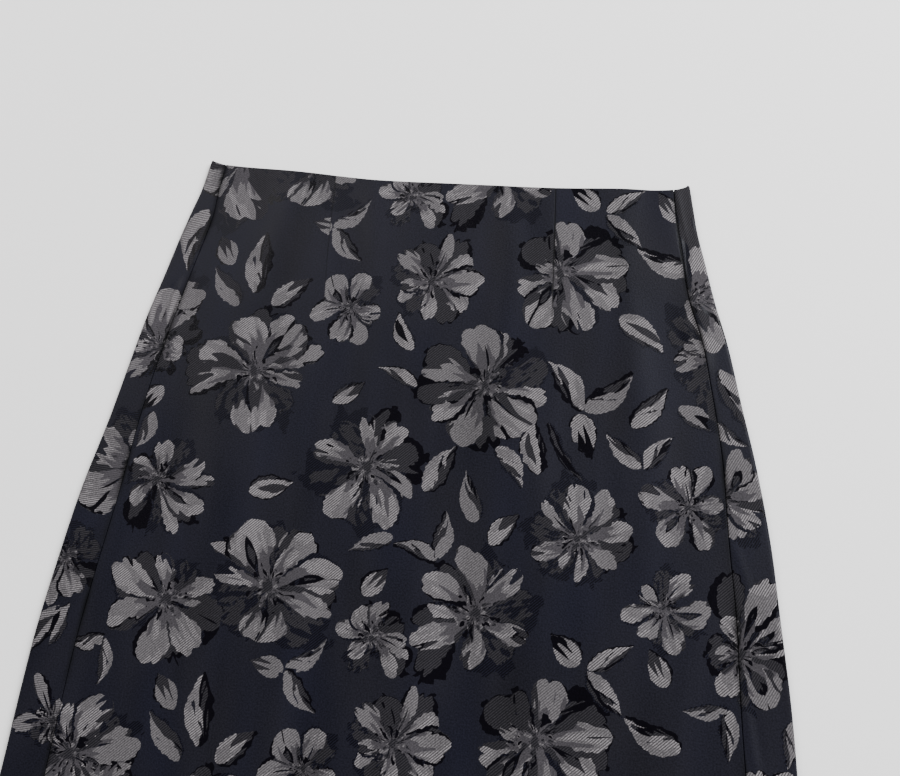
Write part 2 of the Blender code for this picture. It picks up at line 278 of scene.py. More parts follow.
# Petals run out from a flower's middle.  Each petal: angle in degrees from +X, length
# and half width in hundredths of the flower's radius, and form.
WHOLE, SLIT, FRAYED, WEDGE = 0, 1, 2, 3
RIMMED, DIM, BLACK = 0, 1, 2
FLOWER_DESIGNS = {
    "broad_star": {
        "light": (
            (112, 88, 26, WHOLE), (56, 104, 28, SLIT), (22, 108, 15, WHOLE), (-8, 76, 13, FRAYED),
            (276, 90, 30, WEDGE), (196, 105, 17, FRAYED), (162, 94, 22, SLIT)),
        "dark": (
            (88, 95, 20, RIMMED), (315, 80, 22, DIM), (174, 108, 28, RIMMED), (235, 75, 16, DIM),
            (38, 90, 12, RIMMED)),
    },
    "four_fans": {
        "light": (
            (72, 108, 28, WHOLE), (124, 108, 36, SLIT), (196, 120, 24, WHOLE), (252, 106, 27, WHOLE),
            (292, 112, 27, WHOLE), (350, 88, 26, FRAYED)),
        "dark": ((40, 95, 20, DIM), (165, 80, 16, RIMMED), (322, 80, 18, DIM)),
    },
    "windswept": {
        "light": (
            (4, 114, 27, WHOLE), (36, 100, 22, SLIT), (72, 114, 12, WHOLE), (138, 98, 20, FRAYED),
            (190, 66, 14, FRAYED), (216, 78, 13, WHOLE), (269, 86, 16, WHOLE), (321, 100, 21, SLIT)),
        "dark": (
            (104, 86, 26, RIMMED), (56, 116, 20, RIMMED), (299, 100, 24, RIMMED), (164, 85, 22, DIM),
            (244, 80, 20, DIM)),
    },
    "full_skirt": {
        "light": (
            (78, 92, 25, WHOLE), (9, 112, 22, FRAYED), (327, 106, 21, SLIT), (288, 108, 27, FRAYED),
            (240, 108, 27, SLIT), (200, 90, 18, WHOLE), (164, 55, 13, FRAYED)),
        "dark": (
            (150, 86, 24, RIMMED), (116, 74, 16, RIMMED), (27, 106, 22, RIMMED), (346, 110, 26, RIMMED),
            (265, 100, 16, RIMMED)),
    },
    "round_star": {
        "light": (
            (106, 100, 27, WHOLE), (75, 90, 16, WHOLE), (168, 102, 19, FRAYED), (214, 98, 18, SLIT),
            (250, 100, 26, WHOLE), (318, 100, 32, WEDGE), (352, 98, 17, WHOLE)),
        "dark": (
            (152, 106, 24, RIMMED), (58, 84, 20, BLACK), (20, 100, 22, DIM), (277, 104, 22, BLACK),
            (192, 105, 18, RIMMED)),
    },
    "pinwheel": {
        "light": (
            (95, 94, 17, FRAYED), (52, 102, 22, WHOLE), (164, 102, 20, FRAYED), (238, 102, 28, WHOLE),
            (296, 112, 24, WHOLE), (331, 98, 17, SLIT), (8, 62, 18, FRAYED)),
        "dark": (
            (14, 104, 32, BLACK), (70, 114, 18, BLACK), (130, 95, 26, DIM), (201, 100, 26, DIM),
            (268, 100, 22, DIM)),
    },
    "leaning": {
        "light": (
            (88, 84, 22, WHOLE), (28, 108, 19, FRAYED), (2, 126, 12, FRAYED), (332, 120, 24, SLIT),
            (296, 120, 14, WHOLE), (228, 74, 16, WHOLE), (145, 70, 13, WHOLE)),
        "dark": (
            (166, 66, 24, BLACK), (56, 95, 22, DIM), (246, 105, 24, BLACK), (314, 112, 16, RIMMED),
            (275, 90, 14, DIM)),
    },
    "wide_crown": {
        "light": (
            (117, 106, 33, SLIT), (148, 112, 13, WHOLE), (169, 88, 13, FRAYED), (260, 74, 32, WEDGE),
            (340, 100, 17, FRAYED), (14, 108, 23, SLIT), (58, 100, 24, WHOLE)),
        "dark": (
            (88, 96, 20, DIM), (222, 84, 22, DIM), (312, 92, 24, DIM), (358, 96, 18, RIMMED),
            (192, 80, 16, DIM)),
    },
    "sweeping": {
        "light": (
            (150, 116, 24, WHOLE), (105, 82, 15, FRAYED), (21, 92, 15, WHOLE), (309, 106, 24, WHOLE),
            (260, 112, 27, WHOLE), (205, 108, 24, WHOLE), (180, 78, 13, FRAYED), (1, 64, 10, FRAYED)),
        "dark": (
            (346, 108, 26, RIMMED), (128, 95, 18, RIMMED), (285, 100, 18, RIMMED), (166, 96, 22, DIM),
            (60, 74, 24, DIM)),
    },
    "small_cross": {
        "light": (
            (72, 84, 18, WHOLE), (119, 72, 21, WHOLE), (170, 84, 19, WHOLE), (224, 66, 18, FRAYED),
            (305, 100, 17, WHOLE), (334, 94, 15, WHOLE), (356, 82, 14, SLIT)),
        "dark": (
            (95, 70, 18, RIMMED), (316, 102, 24, RIMMED), (240, 85, 24, DIM), (30, 76, 22, RIMMED)),
    },
    "feathered": {
        "light": (
            (103, 108, 22, WHOLE), (50, 100, 22, FRAYED), (151, 100, 21, WHOLE), (212, 112, 24, FRAYED),
            (265, 82, 17, FRAYED), (341, 90, 18, FRAYED), (176, 74, 13, WHOLE)),
        "dark": (
            (231, 125, 17, RIMMED), (191, 98, 17, RIMMED), (76, 90, 18, DIM), (18, 95, 24, DIM),
            (310, 85, 22, DIM), (128, 90, 15, RIMMED)),
    },
    "open_fan": {
        "light": (
            (94, 98, 25, FRAYED), (59, 104, 22, WHOLE), (14, 102, 20, WHOLE), (136, 96, 10, WHOLE),
            (203, 90, 17, FRAYED), (325, 90, 17, WHOLE), (274, 78, 11, WHOLE), (248, 62, 11, FRAYED)),
        "dark": (
            (352, 100, 22, RIMMED), (116, 98, 20, DIM), (164, 90, 22, DIM), (228, 84, 22, DIM),
            (300, 80, 18, DIM), (36, 95, 14, RIMMED)),
    },
    "three_pairs": {
        "light": (
            (106, 108, 24, WHOLE), (69, 108, 25, WHOLE), (165, 124, 26, FRAYED), (12, 80, 21, FRAYED),
            (295, 106, 23, WHOLE), (236, 104, 31, SLIT)),
        "dark": ((138, 88, 20, DIM), (338, 86, 22, DIM), (200, 84, 22, DIM)),
    },
    "two_sided": {
        "light": (
            (50, 100, 23, WHOLE), (1, 112, 29, SLIT), (290, 108, 25, WHOLE), (233, 86, 20, WHOLE),
            (195, 98, 19, WHOLE), (140, 70, 18, FRAYED)),
        "dark": ((92, 85, 22, DIM), (325, 90, 18, DIM), (262, 85, 16, DIM)),
    },
    "half_hidden": {
        "light": (
            (60, 104, 24, FRAYED), (16, 116, 25, WHOLE), (355, 84, 12, FRAYED), (100, 82, 11, WHOLE),
            (158, 96, 14, SLIT), (125, 110, 12, WHOLE), (285, 95, 20, WHOLE), (310, 90, 18, SLIT),
            (232, 90, 20, WHOLE)),
        "dark": ((38, 95, 18, DIM), (335, 90, 20, RIMMED), (200, 85, 22, RIMMED)),
    },
    "long_tongue": {
        "light": (
            (88, 112, 30, WHOLE), (60, 110, 20, WHOLE), (358, 44, 22, WHOLE), (219, 86, 18, FRAYED),
            (168, 56, 18, FRAYED), (128, 84, 16, SLIT)),
        "dark": ((35, 84, 30, BLACK), (282, 46, 15, BLACK), (196, 60, 16, DIM)),
    },
    "curled": {
        "light": (
            (68, 156, 24, SLIT), (40, 112, 20, SLIT), (17, 92, 13, WHOLE), (305, 104, 30, SLIT),
            (246, 86, 21, WHOLE), (118, 74, 19, WHOLE), (186, 50, 14, FRAYED)),
        "dark": (
            (184, 66, 30, BLACK), (336, 90, 22, RIMMED), (98, 150, 26, RIMMED), (276, 90, 18, DIM)),
    },
    "drooping": {
        "light": ((291, 140, 37, FRAYED), (250, 90, 16, WHOLE), (200, 40, 16, WHOLE)),
        "dark": ((272, 146, 30, DIM), (232, 60, 24, DIM), (334, 120, 24, DIM), (316, 120, 22, RIMMED)),
    },
    "banner": {
        "light": (
            (155, 98, 34, FRAYED), (209, 112, 40, WHOLE), (96, 60, 16, FRAYED), (262, 66, 16, WHOLE),
            (20, 80, 24, WHOLE)),
        "dark": ((184, 100, 14, RIMMED), (120, 90, 20, DIM), (320, 80, 22, RIMMED)),
    },
    "thin_petals": {
        "light": (
            (192, 96, 18, SLIT), (120, 112, 13, WHOLE), (76, 52, 11, WHOLE), (300, 50, 13, FRAYED),
            (150, 44, 11, WHOLE), (250, 52, 11, FRAYED)),
        "dark": ((215, 60, 20, DIM), (50, 80, 22, DIM), (340, 60, 20, DIM)),
    },
    "ribbon": {
        "light": (
            (82, 116, 25, WHOLE), (52, 80, 22, FRAYED), (296, 114, 26, WEDGE), (16, 70, 17, WHOLE),
            (330, 80, 18, WHOLE), (200, 80, 22, WHOLE)),
        "dark": ((0, 66, 20, BLACK), (258, 80, 22, DIM), (99, 250, 36, DIM)),
    },
    "gathered": {
        "light": (
            (66, 110, 26, SLIT), (28, 104, 24, WHOLE), (336, 100, 24, FRAYED), (96, 86, 20, WHOLE),
            (300, 90, 22, WHOLE), (200, 84, 24, WHOLE)),
        "dark": ((4, 96, 13, RIMMED), (318, 104, 18, DIM), (150, 80, 22, DIM)),
    },
    "edge_pair": {
        "light": ((292, 98, 30, WHOLE), (256, 120, 20, WHOLE)),
        "dark": ((55, 80, 28, DIM), (20, 80, 24, DIM), (330, 120, 22, BLACK)),
    },
    "seam_bloom": {
        "light": ((160, 80, 17, FRAYED), (194, 100, 24, FRAYED), (114, 146, 17, WHOLE)),
        "dark": ((141, 130, 34, DIM), (226, 105, 28, DIM), (268, 150, 34, DIM), (176, 80, 16, RIMMED)),
    },
}

# Each leaf: across and drop of its base, length, angle in degrees from +X, kind and
# seed.  Kinds: leaf, bud, split (with a slit), shade (a thin dark line) and fork
# (open to its tip).
LEAF, BUD, SPLIT, SHADE, FORK = 0, 1, 2, 3, 4
TURNED_OVER = 100         # added to a leaf's seed to put its dark side on the other side
FRONT_LEAVES = (
    (-148, 79, 26, 122, BUD, 1),
    (-139, 110, 38, 131, LEAF, 102),
    (-129, 100, 47, 92, LEAF, 103),
    (-114, 108, 33, 42, FORK, 4),
    (-77, 47, 24, 170, BUD, 5),
    (-76, 46, 34, 40, LEAF, 6),
    (-76, 47, 34, -46, LEAF, 7),
    (-8, 136, 30, 114, SPLIT, 8),
    (115, 25, 26, 138, BUD, 9),
    (121, 27, 33, 31, LEAF, 110),
    (121, 28, 35, -48, LEAF, 11),
    (170, 33, 25, 118, BUD, 12),
    (180, 70, 40, 154, LEAF, 113),
    (134, 104, 38, -40, SPLIT, 14),
    (146, 181, 36, 52, LEAF, 116),
    (110, 174, 32, -72, BUD, 17),
    (89.5, 181.5, 49, -54.5, SHADE, 18),
    (113, 171, 42, 129, LEAF, 19),
    (113, 171, 42, 40, LEAF, 120),
    (153, 208, 33, 137, LEAF, 21),
    (153, 208, 31, 48, LEAF, 122),
    (176, 165, 29, -32, FORK, 23),
    (-190, 192, 29, -110, LEAF, 24),
    (-186, 173, 22, -125, BUD, 25),
    (-60.5, 177, 27, 38, FORK, 26),
    (-2, 161, 31, 159, LEAF, 27),
    (-112, 243, 32, 15, SPLIT, 28),
    (10, 234, 38, 60, LEAF, 29),
    (46, 252, 36, 104, LEAF, 130),
    (57, 266, 28, 50, FORK, 31),
    (-8, 266, 32, -158, LEAF, 132),
    (23, 278, 31, 166, LEAF, 133),
    (23, 278, 32, 84, LEAF, 34),
    (-24, 306, 24, 50, BUD, 35),
    (57, 200, 33, -55, LEAF, 136),
    (86, 217, 38, 98, SPLIT, 37),
    (-198, 350, 26, -168, LEAF, 40),
    (-198, 350, 31, -92, LEAF, 41),
    (214, 355, 29, -174, LEAF, 43),
    (214, 355, 31, -90, LEAF, 44),
)
STRIP_LEAVES = (
    (-174, 36, 50, -99, LEAF, 51),
    (-245, 360, 35, 60, SPLIT, 52),
    (-230, 331, 38, -122, SPLIT, 53),
    (-236, 460, 36, -84, LEAF, 54),
    (199, 174, 27, -32, LEAF, 55),
    (202, 137, 46, -65, LEAF, 56),
    (180, 40, 30, -80, SHADE, 57),
    (252, 358, 28, -96, LEAF, 58),
    (232, 440, 36, -74, LEAF, 59),
)
# The back's own cloth, seen from behind, is the same design in another place
BACK_SHIFT = (38.0, 148.0)
BACK_WIDTH_REPEAT = 424.0  # across, between the copies of the whole repeat

LEFT_GRAIN = -30.0        # turn of the back's grain where it shows at each side
RIGHT_GRAIN = 18.0

# Tones of the woven figure, in the order of the colour ramps
GROUND, FLOATS, HATCH, DARK, MIDDLE, PLAIN, LIGHT = range(7)
TONE_STEP = 1.0 / 7.0
SEEDS_A_FLOWER = 10       # petals of one design take seeds from this many
MOTIF_MARGIN = 3.0        # cloth round a motif that belongs to it
PETAL_MIDDLE = 0.58       # middle of a petal's widest part, as a share of its length
PETAL_ROUNDS_FROM = 0.60  # share of a petal's length where its round end starts
PETAL_FULLNESS = 1.12     # a petal's widest place, for the half width of its row
SEAM_SHADE_ROUGHNESS = 0.85  # roughness of the cloth under the painted shade along darts and seams
SEAM_SHADE_DARKER = 0.88     # share of its colour that the painted shade along darts and seams takes away
CLOTH_SPECULAR = 0.075    # the yarn's own shine, weaker than that of plastic
TONE_ROUGHNESS = (0.46, 0.26, 0.42, 0.62, 0.66, 0.70, 0.72)
WOBBLE_SCALE = 420.0      # noise cells a metre: unevenness of the twill's lines,
MOTTLE_SCALE = 900.0      # single yarns
BAND_SCALE = 34.0         # and slow bands across the cloth
LEAF_HALF_WIDTH = 0.24    # reach of a leaf and its shade beside its middle
FLOWER_CLEAR = 0.42       # the back's motifs keep this share of their size clear
LEAF_CLEAR = 0.9          # of the side folds

# ---- light
KEY_PLACE = (1.7, 1.5, 1.7)
FILL_PLACE = (-1.5, 1.6, 1.8)
LIGHT_SIZE = 1.6
COOL_WHITE = (0.97, 0.985, 1.0)
WARM_WHITE = (1.0, 0.985, 0.965)
FLOOR_GAP = 0.00002       # between the skirt's underside and the floor


# ---- settings
def length_property(name, description, default, low=0.0):
    return bpy.props.FloatProperty(
        name=name, description=description, default=default, min=low,
        unit="LENGTH", precision=5,
    )


def colour_property(name, description, default):
    return bpy.props.FloatVectorProperty(
        name=name, description=description, default=default, size=3,
        subtype="COLOR", min=0.0, max=1.0,
    )


class SkirtClothSettings(bpy.types.PropertyGroup):
    """Sizes of the cloth and its weave."""

    shell: length_property("Cloth", "Thickness of one layer of cloth", 0.0005, 0.0001)
    turn_radius: length_property(
        "Turned edge", "Radius of the middle of the cloth round a turned edge", 0.00035)
    waist_turning: length_property(
        "Waist turning", "Cloth turned in at the waist", 0.008)
    hem_turning: length_property("Hem turning", "Cloth turned up at the hem", 0.022)
    row_step: length_property("Row step", "Distance between rows of the mesh", 0.0034)
    column_step: length_property(
        "Column step", "Distance between columns of the mesh", 0.0034)
    dart_groove: length_property("Dart groove", "Depth of a dart's stitched line", 0.0003)
    twill_pitch: length_property(
        "Twill pitch", "Distance between the lines of the twill", 0.00142)
    twill_angle: bpy.props.FloatProperty(
        name="Twill angle", description="Slope of the lines of the twill",
        default=math.radians(43.0), subtype="ANGLE", unit="ROTATION",
    )


class SkirtColourSettings(bpy.types.PropertyGroup):
    """Yarn colours of the jacquard, as the eye sees each weave, and a ground with painted sheen."""

    ground: colour_property("Ground", "Satin ground", (0.0048, 0.0049, 0.0098))
    # a lighter, greyer satin for painted sheen on the ground
    painted_sheen_ground: colour_property("Painted sheen ground", "Greyer satin", (0.0070, 0.0066, 0.0091))
    floats: colour_property("Black floats", "Black yarn on the face", (0.0008, 0.0005, 0.0016))
    dark_line: colour_property(
        "Dark twill line", "Line of the dark twill", (0.0172, 0.0158, 0.0186))
    dark_gap: colour_property("Dark twill gap", "Between its lines", (0.0046, 0.0043, 0.0060))
    middle: colour_property("Middle grey", "Flower centres", (0.0334, 0.0305, 0.0343))
    plain_line: colour_property("Plain light", "Plainer light areas", (0.0915, 0.0850, 0.0890))
    plain_gap: colour_property("Plain light gap", "Between its threads", (0.0450, 0.0417, 0.0445))
    light_line: colour_property(
        "Light twill line", "Line of the light twill", (0.1500, 0.1389, 0.1451))
    light_gap: colour_property("Light twill gap", "Between its lines", (0.0335, 0.0309, 0.0327))
    wrong_side: colour_property("Wrong side", "Inside of the cloth", (0.013, 0.0125, 0.015))


class SkirtZipSettings(bpy.types.PropertyGroup):
    """Sizes of the concealed zip."""

    tape: length_property("Tape", "Thickness of the woven tape", 0.0004, 0.0001)
    pitch: length_property("Coil pitch", "Distance between the coil's turns", 0.0013)
    coil_width: length_property("Coil width", "Width of the closed coil", 0.0034)
    coil_height: length_property("Coil height", "Thickness of the coil", 0.0011)
    wire: length_property("Coil wire", "Diameter of the coil's thread", 0.0005)
    tape_colour: colour_property("Tape colour", "Woven tape", (0.010, 0.010, 0.013))
    coil_colour: colour_property("Coil colour", "Nylon coil", (0.014, 0.014, 0.017))
    metal_colour: colour_property("Slider colour", "Blackened metal", (0.045, 0.045, 0.050))


class SkirtStageSettings(bpy.types.PropertyGroup):
    """Floor, light and camera."""

    floor_size: length_property("Floor", "Side of the floor", 6.0)
    floor_colour: colour_property("Floor colour", "Plain pale floor", (0.835, 0.822, 0.818))
    lens: bpy.props.FloatProperty(
        name="Lens", description="Focal length of the camera in millimetres", default=39.0)
    camera_place: bpy.props.FloatVectorProperty(
        name="Camera", description="Place of the camera", size=3, subtype="TRANSLATION",
        unit="LENGTH", default=(0.1129, -0.0143, 0.6543), precision=4,
    )
    camera_turn: bpy.props.FloatVectorProperty(
        name="Camera turn", description="Turn of the camera", size=3, subtype="EULER",
        unit="ROTATION",
        default=(math.radians(13.65), math.radians(6.9), math.radians(5.3)),
    )
    key_power: bpy.props.FloatProperty(
        name="Window light", description="Power of the light beyond the top right in watts",
        default=197.0)
    fill_power: bpy.props.FloatProperty(
        name="Fill light", description="Power of the light beyond the top left in watts",
        default=60.0)
    room_strength: bpy.props.FloatProperty(
        name="Room light", description="Strength of the light from all round", default=0.55)


# ---- forms of the skirt
def read_table(rows, names, column, at):
    """Read one column at values of the first column, along a smooth curve."""
    keys = np.array([row[0] for row in rows])
    values = np.array([row[names.index(column)] for row in rows])
    before = np.maximum(np.arange(len(keys)) - 1, 0)
    after = np.minimum(np.arange(len(keys)) + 1, len(keys) - 1)
    slopes = (values[after] - values[before]) / (keys[after] - keys[before])
    at = np.clip(np.asarray(at, float), keys[0], keys[-1])
    span = np.clip(np.searchsorted(keys, at, side="right") - 1, 0, len(keys) - 2)
    step = keys[span + 1] - keys[span]
    t = (at - keys[span]) / step
    rise = t * t * (3.0 - 2.0 * t)
    leave = t * (1.0 - t) ** 2 * step * slopes[span]
    arrive = t * t * (t - 1.0) * step * slopes[span + 1]
    return values[span] + (values[span + 1] - values[span]) * rise + leave + arrive


def outline(column, drop):
    return read_table(OUTLINE, OUTLINE_COLUMNS, column, drop)


def smooth(value):
    """Ease from 0 to 1 as the value does."""
    t = np.clip(value, 0.0, 1.0)
    return t * t * (3.0 - 2.0 * t)


def blend(start, end, share):
    return start + (end - start) * share


def edge_drop(share, end):
    """Drop of the waist edge (end 0) or the hem (end 1)."""
    if end == 0:
        return read_table(WAIST_EDGE, WAIST_EDGE_COLUMNS, "drop", share)
    return LENGTH - HEM_RISE * share * share


def drop_at(share, run):
    """Drop of a point that is `run` of the way from the waist edge to the hem."""
    return blend(edge_drop(share, 0), edge_drop(share, 1), run)


def half_gap(side, drop):
    """How far each panel's edge keeps from the middle of its side seam."""
    if side == "left":
        return SEAM_GAP / 2.0 + 0.0 * np.asarray(drop)
    return read_table(ZIP_SLIT, ZIP_SLIT_COLUMNS, "gap", drop) / 2.0


def fold_centre(side, drop):
    """Where the middle of a side fold's roll lies."""
    return outline(side + "_fold", drop) - SIGNS[side] * FOLD_OUTSIDE


def fold_fade(run):
    """Lets a fold of the cloth die away towards both its ends."""
    return smooth(run / SOFT_FOLD_FADE) * smooth((1.0 - run) / SOFT_FOLD_FADE)


def creases(rows, across, drop):
    """Sum of soft straight creases at each point."""
    height = np.zeros_like(across)
    for from_across, from_drop, to_across, to_drop, rise, reach in rows:
        along = np.array([to_across - from_across, to_drop - from_drop])
        length = np.hypot(*along)
        unit = along / length
        run = ((across - from_across) * unit[0] + (drop - from_drop) * unit[1]) / length
        away = (across - from_across) * unit[1] - (drop - from_drop) * unit[0]
        wander = 0.5 * reach * np.sin(run * 5.0 + from_across)
        height += rise * np.exp(-((away + wander) / reach) ** 2) * fold_fade(run)
    return height


def fine_waves(across, drop):
    """Slight unevenness of pressed cloth, in waves whose lengths don't line up."""
    slow = np.sin(across / 13.0 + np.sin(drop / 31.0) * 1.7) * np.sin(drop / 24.0 + across / 41.0)
    quick = np.sin(across / 5.3 - drop / 9.1) * np.sin(drop / 6.7 + across / 17.0)
    return SLOW_WAVE * slow + QUICK_WAVE * quick


def face_height(across, drop):
    """Height of the outer face of the upper layer above the floor."""
    left = outline("left_fold", drop)
    right = outline("right_fold", drop)
    inside = np.minimum(across - left, right - across) - FOLD_RADIUS
    height = np.zeros_like(across)
    for top_across, end_across, starts, ends, rise, reach in SOFT_FOLDS:
        run = (drop - starts) / (ends - starts)
        middle = blend(top_across, end_across, run)
        height += rise * np.exp(-((across - middle) / reach) ** 2) * fold_fade(run)
    height += creases(FACE_CREASES, across, drop) + fine_waves(across, drop)
    height *= smooth(inside / EDGE_FADE)
    return CLOTH + 2.0 * FOLD_RADIUS + height


def along_darts(lines, tip, across, drop, strengths, reach, power=0.5):
    """Sum of a bell of one reach along each dart, which dies away to the dart's tip."""
    total = np.zeros_like(across)
    fade = smooth((tip - drop) / DART_FADE) ** power
    for line, strength in zip(lines, strengths):
        total += strength * np.exp(-((across - line) / reach) ** 2) * fade
    return total


def dart_grooves(lines, tip, across, drop, depths):
    """Depth of the stitched line and the shallow trough of each dart."""
    stitched = along_darts(lines, tip, across, drop, depths, STITCH_REACH)
    troughs = (TROUGH_DEPTH,) * len(lines)
    return stitched + along_darts(lines, tip, across, drop, troughs, TROUGH_REACH, 1.0)


def painted_side_seam_shade(across, drop):
    """Painted shade beside the side seams, where shade falls in their valleys, stronger in places."""
    painted_seam_shade = np.zeros_like(across)
    for side, phase in SEAM_PHASES.items():
        away = across - outline(side + "_seam", drop)
        wander = 0.3 * np.sin(drop / 17.0 + phase) + 0.2 * np.sin(drop / 7.3 + 2.0 * phase)
        painted_seam_shade += (0.5 + wander) * np.exp(-(away / SEAM_SHADE_REACH) ** 2)
    return painted_seam_shade


def face_dart_lines(drop):
    return [read_table(DART_LINES, DART_COLUMNS, side, drop) for side in SIGNS]


def place(across, drop, height):
    """Points of the skirt in the part's frame, in metres.

    The part's origin is the middle of the flat outline."""
    left = outline("left_fold", drop_at(-1.0, 1.0))
    right = outline("right_fold", drop_at(1.0, 1.0))
    middle_drop = (drop_at(-1.0, 0.0) + LENGTH) / 2.0
    points = (across - (left + right) / 2.0, middle_drop - drop, height)
    return np.stack([part * MM for part in points], axis=-1)


# ---- paths of rows and columns
def turned_edge(radius, shell, turning, steps=4):
    """Path round a turned edge, from the end of the turning to the outer layer.

    Each point is (inset from the edge, depth below the outer layer)."""
    inset = radius + shell / 2.0
    path = [(inset + turning * share, 2.0 * radius) for share in TURNING_ROWS]
    for step in range(steps + 1):
        turn = math.pi * step / steps
        path.append((inset - radius * math.sin(turn), radius * (1.0 + math.cos(turn))))
    return path


def rolled_edge(cloth, steps=4):
    """Path up a seamed edge: two points down in the seam, then a quarter turn."""
    shell, radius = cloth.shell / MM, cloth.turn_radius / MM
    inset = radius + shell / 2.0
    path = [(0.9 * shell, CLOTH - shell / 2.0), (0.6 * shell, blend(CLOTH, radius, 0.5))]
    for step in range(steps + 1):
        turn = 0.5 * math.pi * step / steps
        path.append((inset - radius * math.cos(turn), radius * (1.0 - math.sin(turn))))
    return path


def sunk_together(first, second):
    """Depth of a corner where two edges meet, never deeper than the part's wall."""
    return SINK_LIMIT - (SINK_LIMIT - first) * (SINK_LIMIT - second) / SINK_LIMIT


def even_steps(length, step):
    count = max(int(round(length / step)), 1)
    return [index / count for index in range(count + 1)]


def near_both_ends(length, step):
    """Shares of a length: even steps, with a few more close to each end."""
    ends = [offset / length for offset in NEAR_TURNED_EDGE]
    clear = 1.3 * ends[-1]
    middle = [share for share in even_steps(length, step) if clear < share < 1.0 - clear]
    return [0.0] + ends + middle + [1.0 - share for share in reversed(ends)] + [1.0]


class Rows:
    """Rows of a panel: the turned waist, the panel itself and the turned hem."""

    def __init__(self, cloth):
        shell, radius = cloth.shell / MM, cloth.turn_radius / MM
        waist = turned_edge(radius, shell, cloth.waist_turning / MM)
        hem = turned_edge(radius, shell, cloth.hem_turning / MM)
        runs = near_both_ends(LENGTH, cloth.row_step / MM)[1:-1]
        self.inset = radius + shell / 2.0
        self.ends = [0] * len(waist) + [None] * len(runs) + [1] * len(hem)
        self.values = waist + [(run, 0.0) for run in runs] + hem[::-1]
        self.nominal = [
            value[0] if end is None else float(end)
            for end, value in zip(self.ends, self.values)
        ]

    def place(self, index, share, extra=0.0):
        """Drop of a row at a share of the half width, its depth and its fabric drop."""
        value, depth = self.values[index]
        top = edge_drop(share, 0) + extra
        hem = edge_drop(share, 1)
        if self.ends[index] is None:
            drop = blend(top + self.inset, hem - self.inset, value)
            return drop, depth, drop
        edge, inward = (top, 1.0) if self.ends[index] == 0 else (hem, -1.0)
        drop = edge + inward * value
        hidden = 2.0 * self.inset * (depth > self.inset / 2.0)
        fabric = edge - inward * (value + hidden if depth > 0.0 else 0.0)
        return drop, depth, fabric


# ---- cloth meshes
def add_object(name, data):
    obj = bpy.data.objects.new(name, data)
    bpy.context.scene.collection.objects.link(obj)
    return obj


def add_mesh(name, points, faces, materials):
    mesh = bpy.data.meshes.new(name)
    mesh.from_pydata(points, [], faces)
    mesh.shade_smooth()
    for material in materials:
        mesh.materials.append(material)
    return add_object(name, mesh)


def grid_normals(points, outward):
    """Unit normals of a grid of points; outward is +1 or -1."""
    down = np.empty_like(points)
    down[1:-1] = points[2:] - points[:-2]
    down[0], down[-1] = points[1] - points[0], points[-1] - points[-2]
    over = np.empty_like(points)
    over[:, 1:-1] = points[:, 2:] - points[:, :-2]
    over[:, 0], over[:, -1] = points[:, 1] - points[:, 0], points[:, -1] - points[:, -2]
    normals = np.cross(down, over) * outward
    return normals / np.linalg.norm(normals, axis=-1, keepdims=True)


def shares_along(points, axis):
    """Share of the way along each grid line, between 0 and 1, for a flat map."""
    steps = np.linalg.norm(np.diff(points, axis=axis), axis=-1)
    mean = steps.mean(axis=1 - axis)
    total = np.concatenate([[0.0], np.cumsum(mean)])
    return total / total[-1]


def shell_mesh(name, middle, thickness, outward, materials):
    """A closed shell round a grid of middle points.

    Returns the object and the grid position of each face's corners.  The outer
    side takes the first material, and the inner side and the rim the second."""
    rows, columns = middle.shape[:2]
    layer = rows * columns
    normals = grid_normals(middle, outward)
    outer = middle + normals * thickness / 2.0
    inner = middle - normals * thickness / 2.0
    index = np.arange(layer).reshape(rows, columns)
    quads = np.stack(
        (index[:-1, :-1], index[1:, :-1], index[1:, 1:], index[:-1, 1:]), axis=-1)
    quads = quads.reshape(-1, 4)
    border = np.concatenate((
        index[0, :-1], index[:-1, -1], index[-1, :0:-1], index[:0:-1, 0]))
    following = np.roll(border, -1)
    rim = np.stack((border, following, following + layer, border + layer), axis=-1)
    if outward < 0:
        quads, rim = quads[:, ::-1], rim[:, ::-1]
    inside = quads[:, ::-1] + layer
    faces = np.concatenate((quads, inside, rim))
    sides = np.repeat((OUTER, INNER, RIM), (len(quads), len(inside), len(rim)))
    points = np.concatenate((outer.reshape(-1, 3), inner.reshape(-1, 3)))
    obj = add_mesh(name, points.tolist(), faces.tolist(), materials)
    second = np.minimum(sides, 1).astype(np.int32)
    obj.data.polygons.foreach_set("material_index", second)
    corners = faces % layer
    flat_map(obj.data, middle, corners, sides)
    return obj, corners


def flat_map(mesh, middle, corners, sides):
    """A map with the outer side above, the inner side below and the rims in strips."""
    rows, columns = middle.shape[:2]
    over = np.tile(shares_along(middle, 1), rows)
    down = np.repeat(shares_along(middle, 0), columns)
    low, high = np.array(MAP_BANDS)[sides].T[..., None]
    place_u = over[corners]
    place_v = high - (high - low) * down[corners]
    rim = sides == RIM
    along = np.arange(rim.sum()) / max(rim.sum(), 1)
    place_u[rim] = along[:, None] + np.array((0.0, 1.0, 1.0, 0.0)) / max(rim.sum(), 1)
    place_v[rim] = np.repeat(MAP_BANDS[RIM], 2)
    pairs = np.stack((MAP_MARGIN + (1.0 - 2.0 * MAP_MARGIN) * place_u, place_v), axis=-1)
    layer_map = mesh.uv_layers.new(name="OFBake")
    layer_map.data.foreach_set("uv", pairs.reshape(-1).astype(np.float32))


def corner_vectors(mesh, name, values):
    attribute = mesh.attributes.new(name, "FLOAT_VECTOR", "CORNER")
    attribute.data.foreach_set("vector", values.reshape(-1).astype(np.float32))


def store_place(mesh, points):
    """Keep where each corner lies in the flat cloth, for the lines of the weave."""
    level = np.zeros(points.shape[:2] + (1,))
    corner_vectors(mesh, "cloth_at", np.concatenate((points * MM, level), axis=-1))


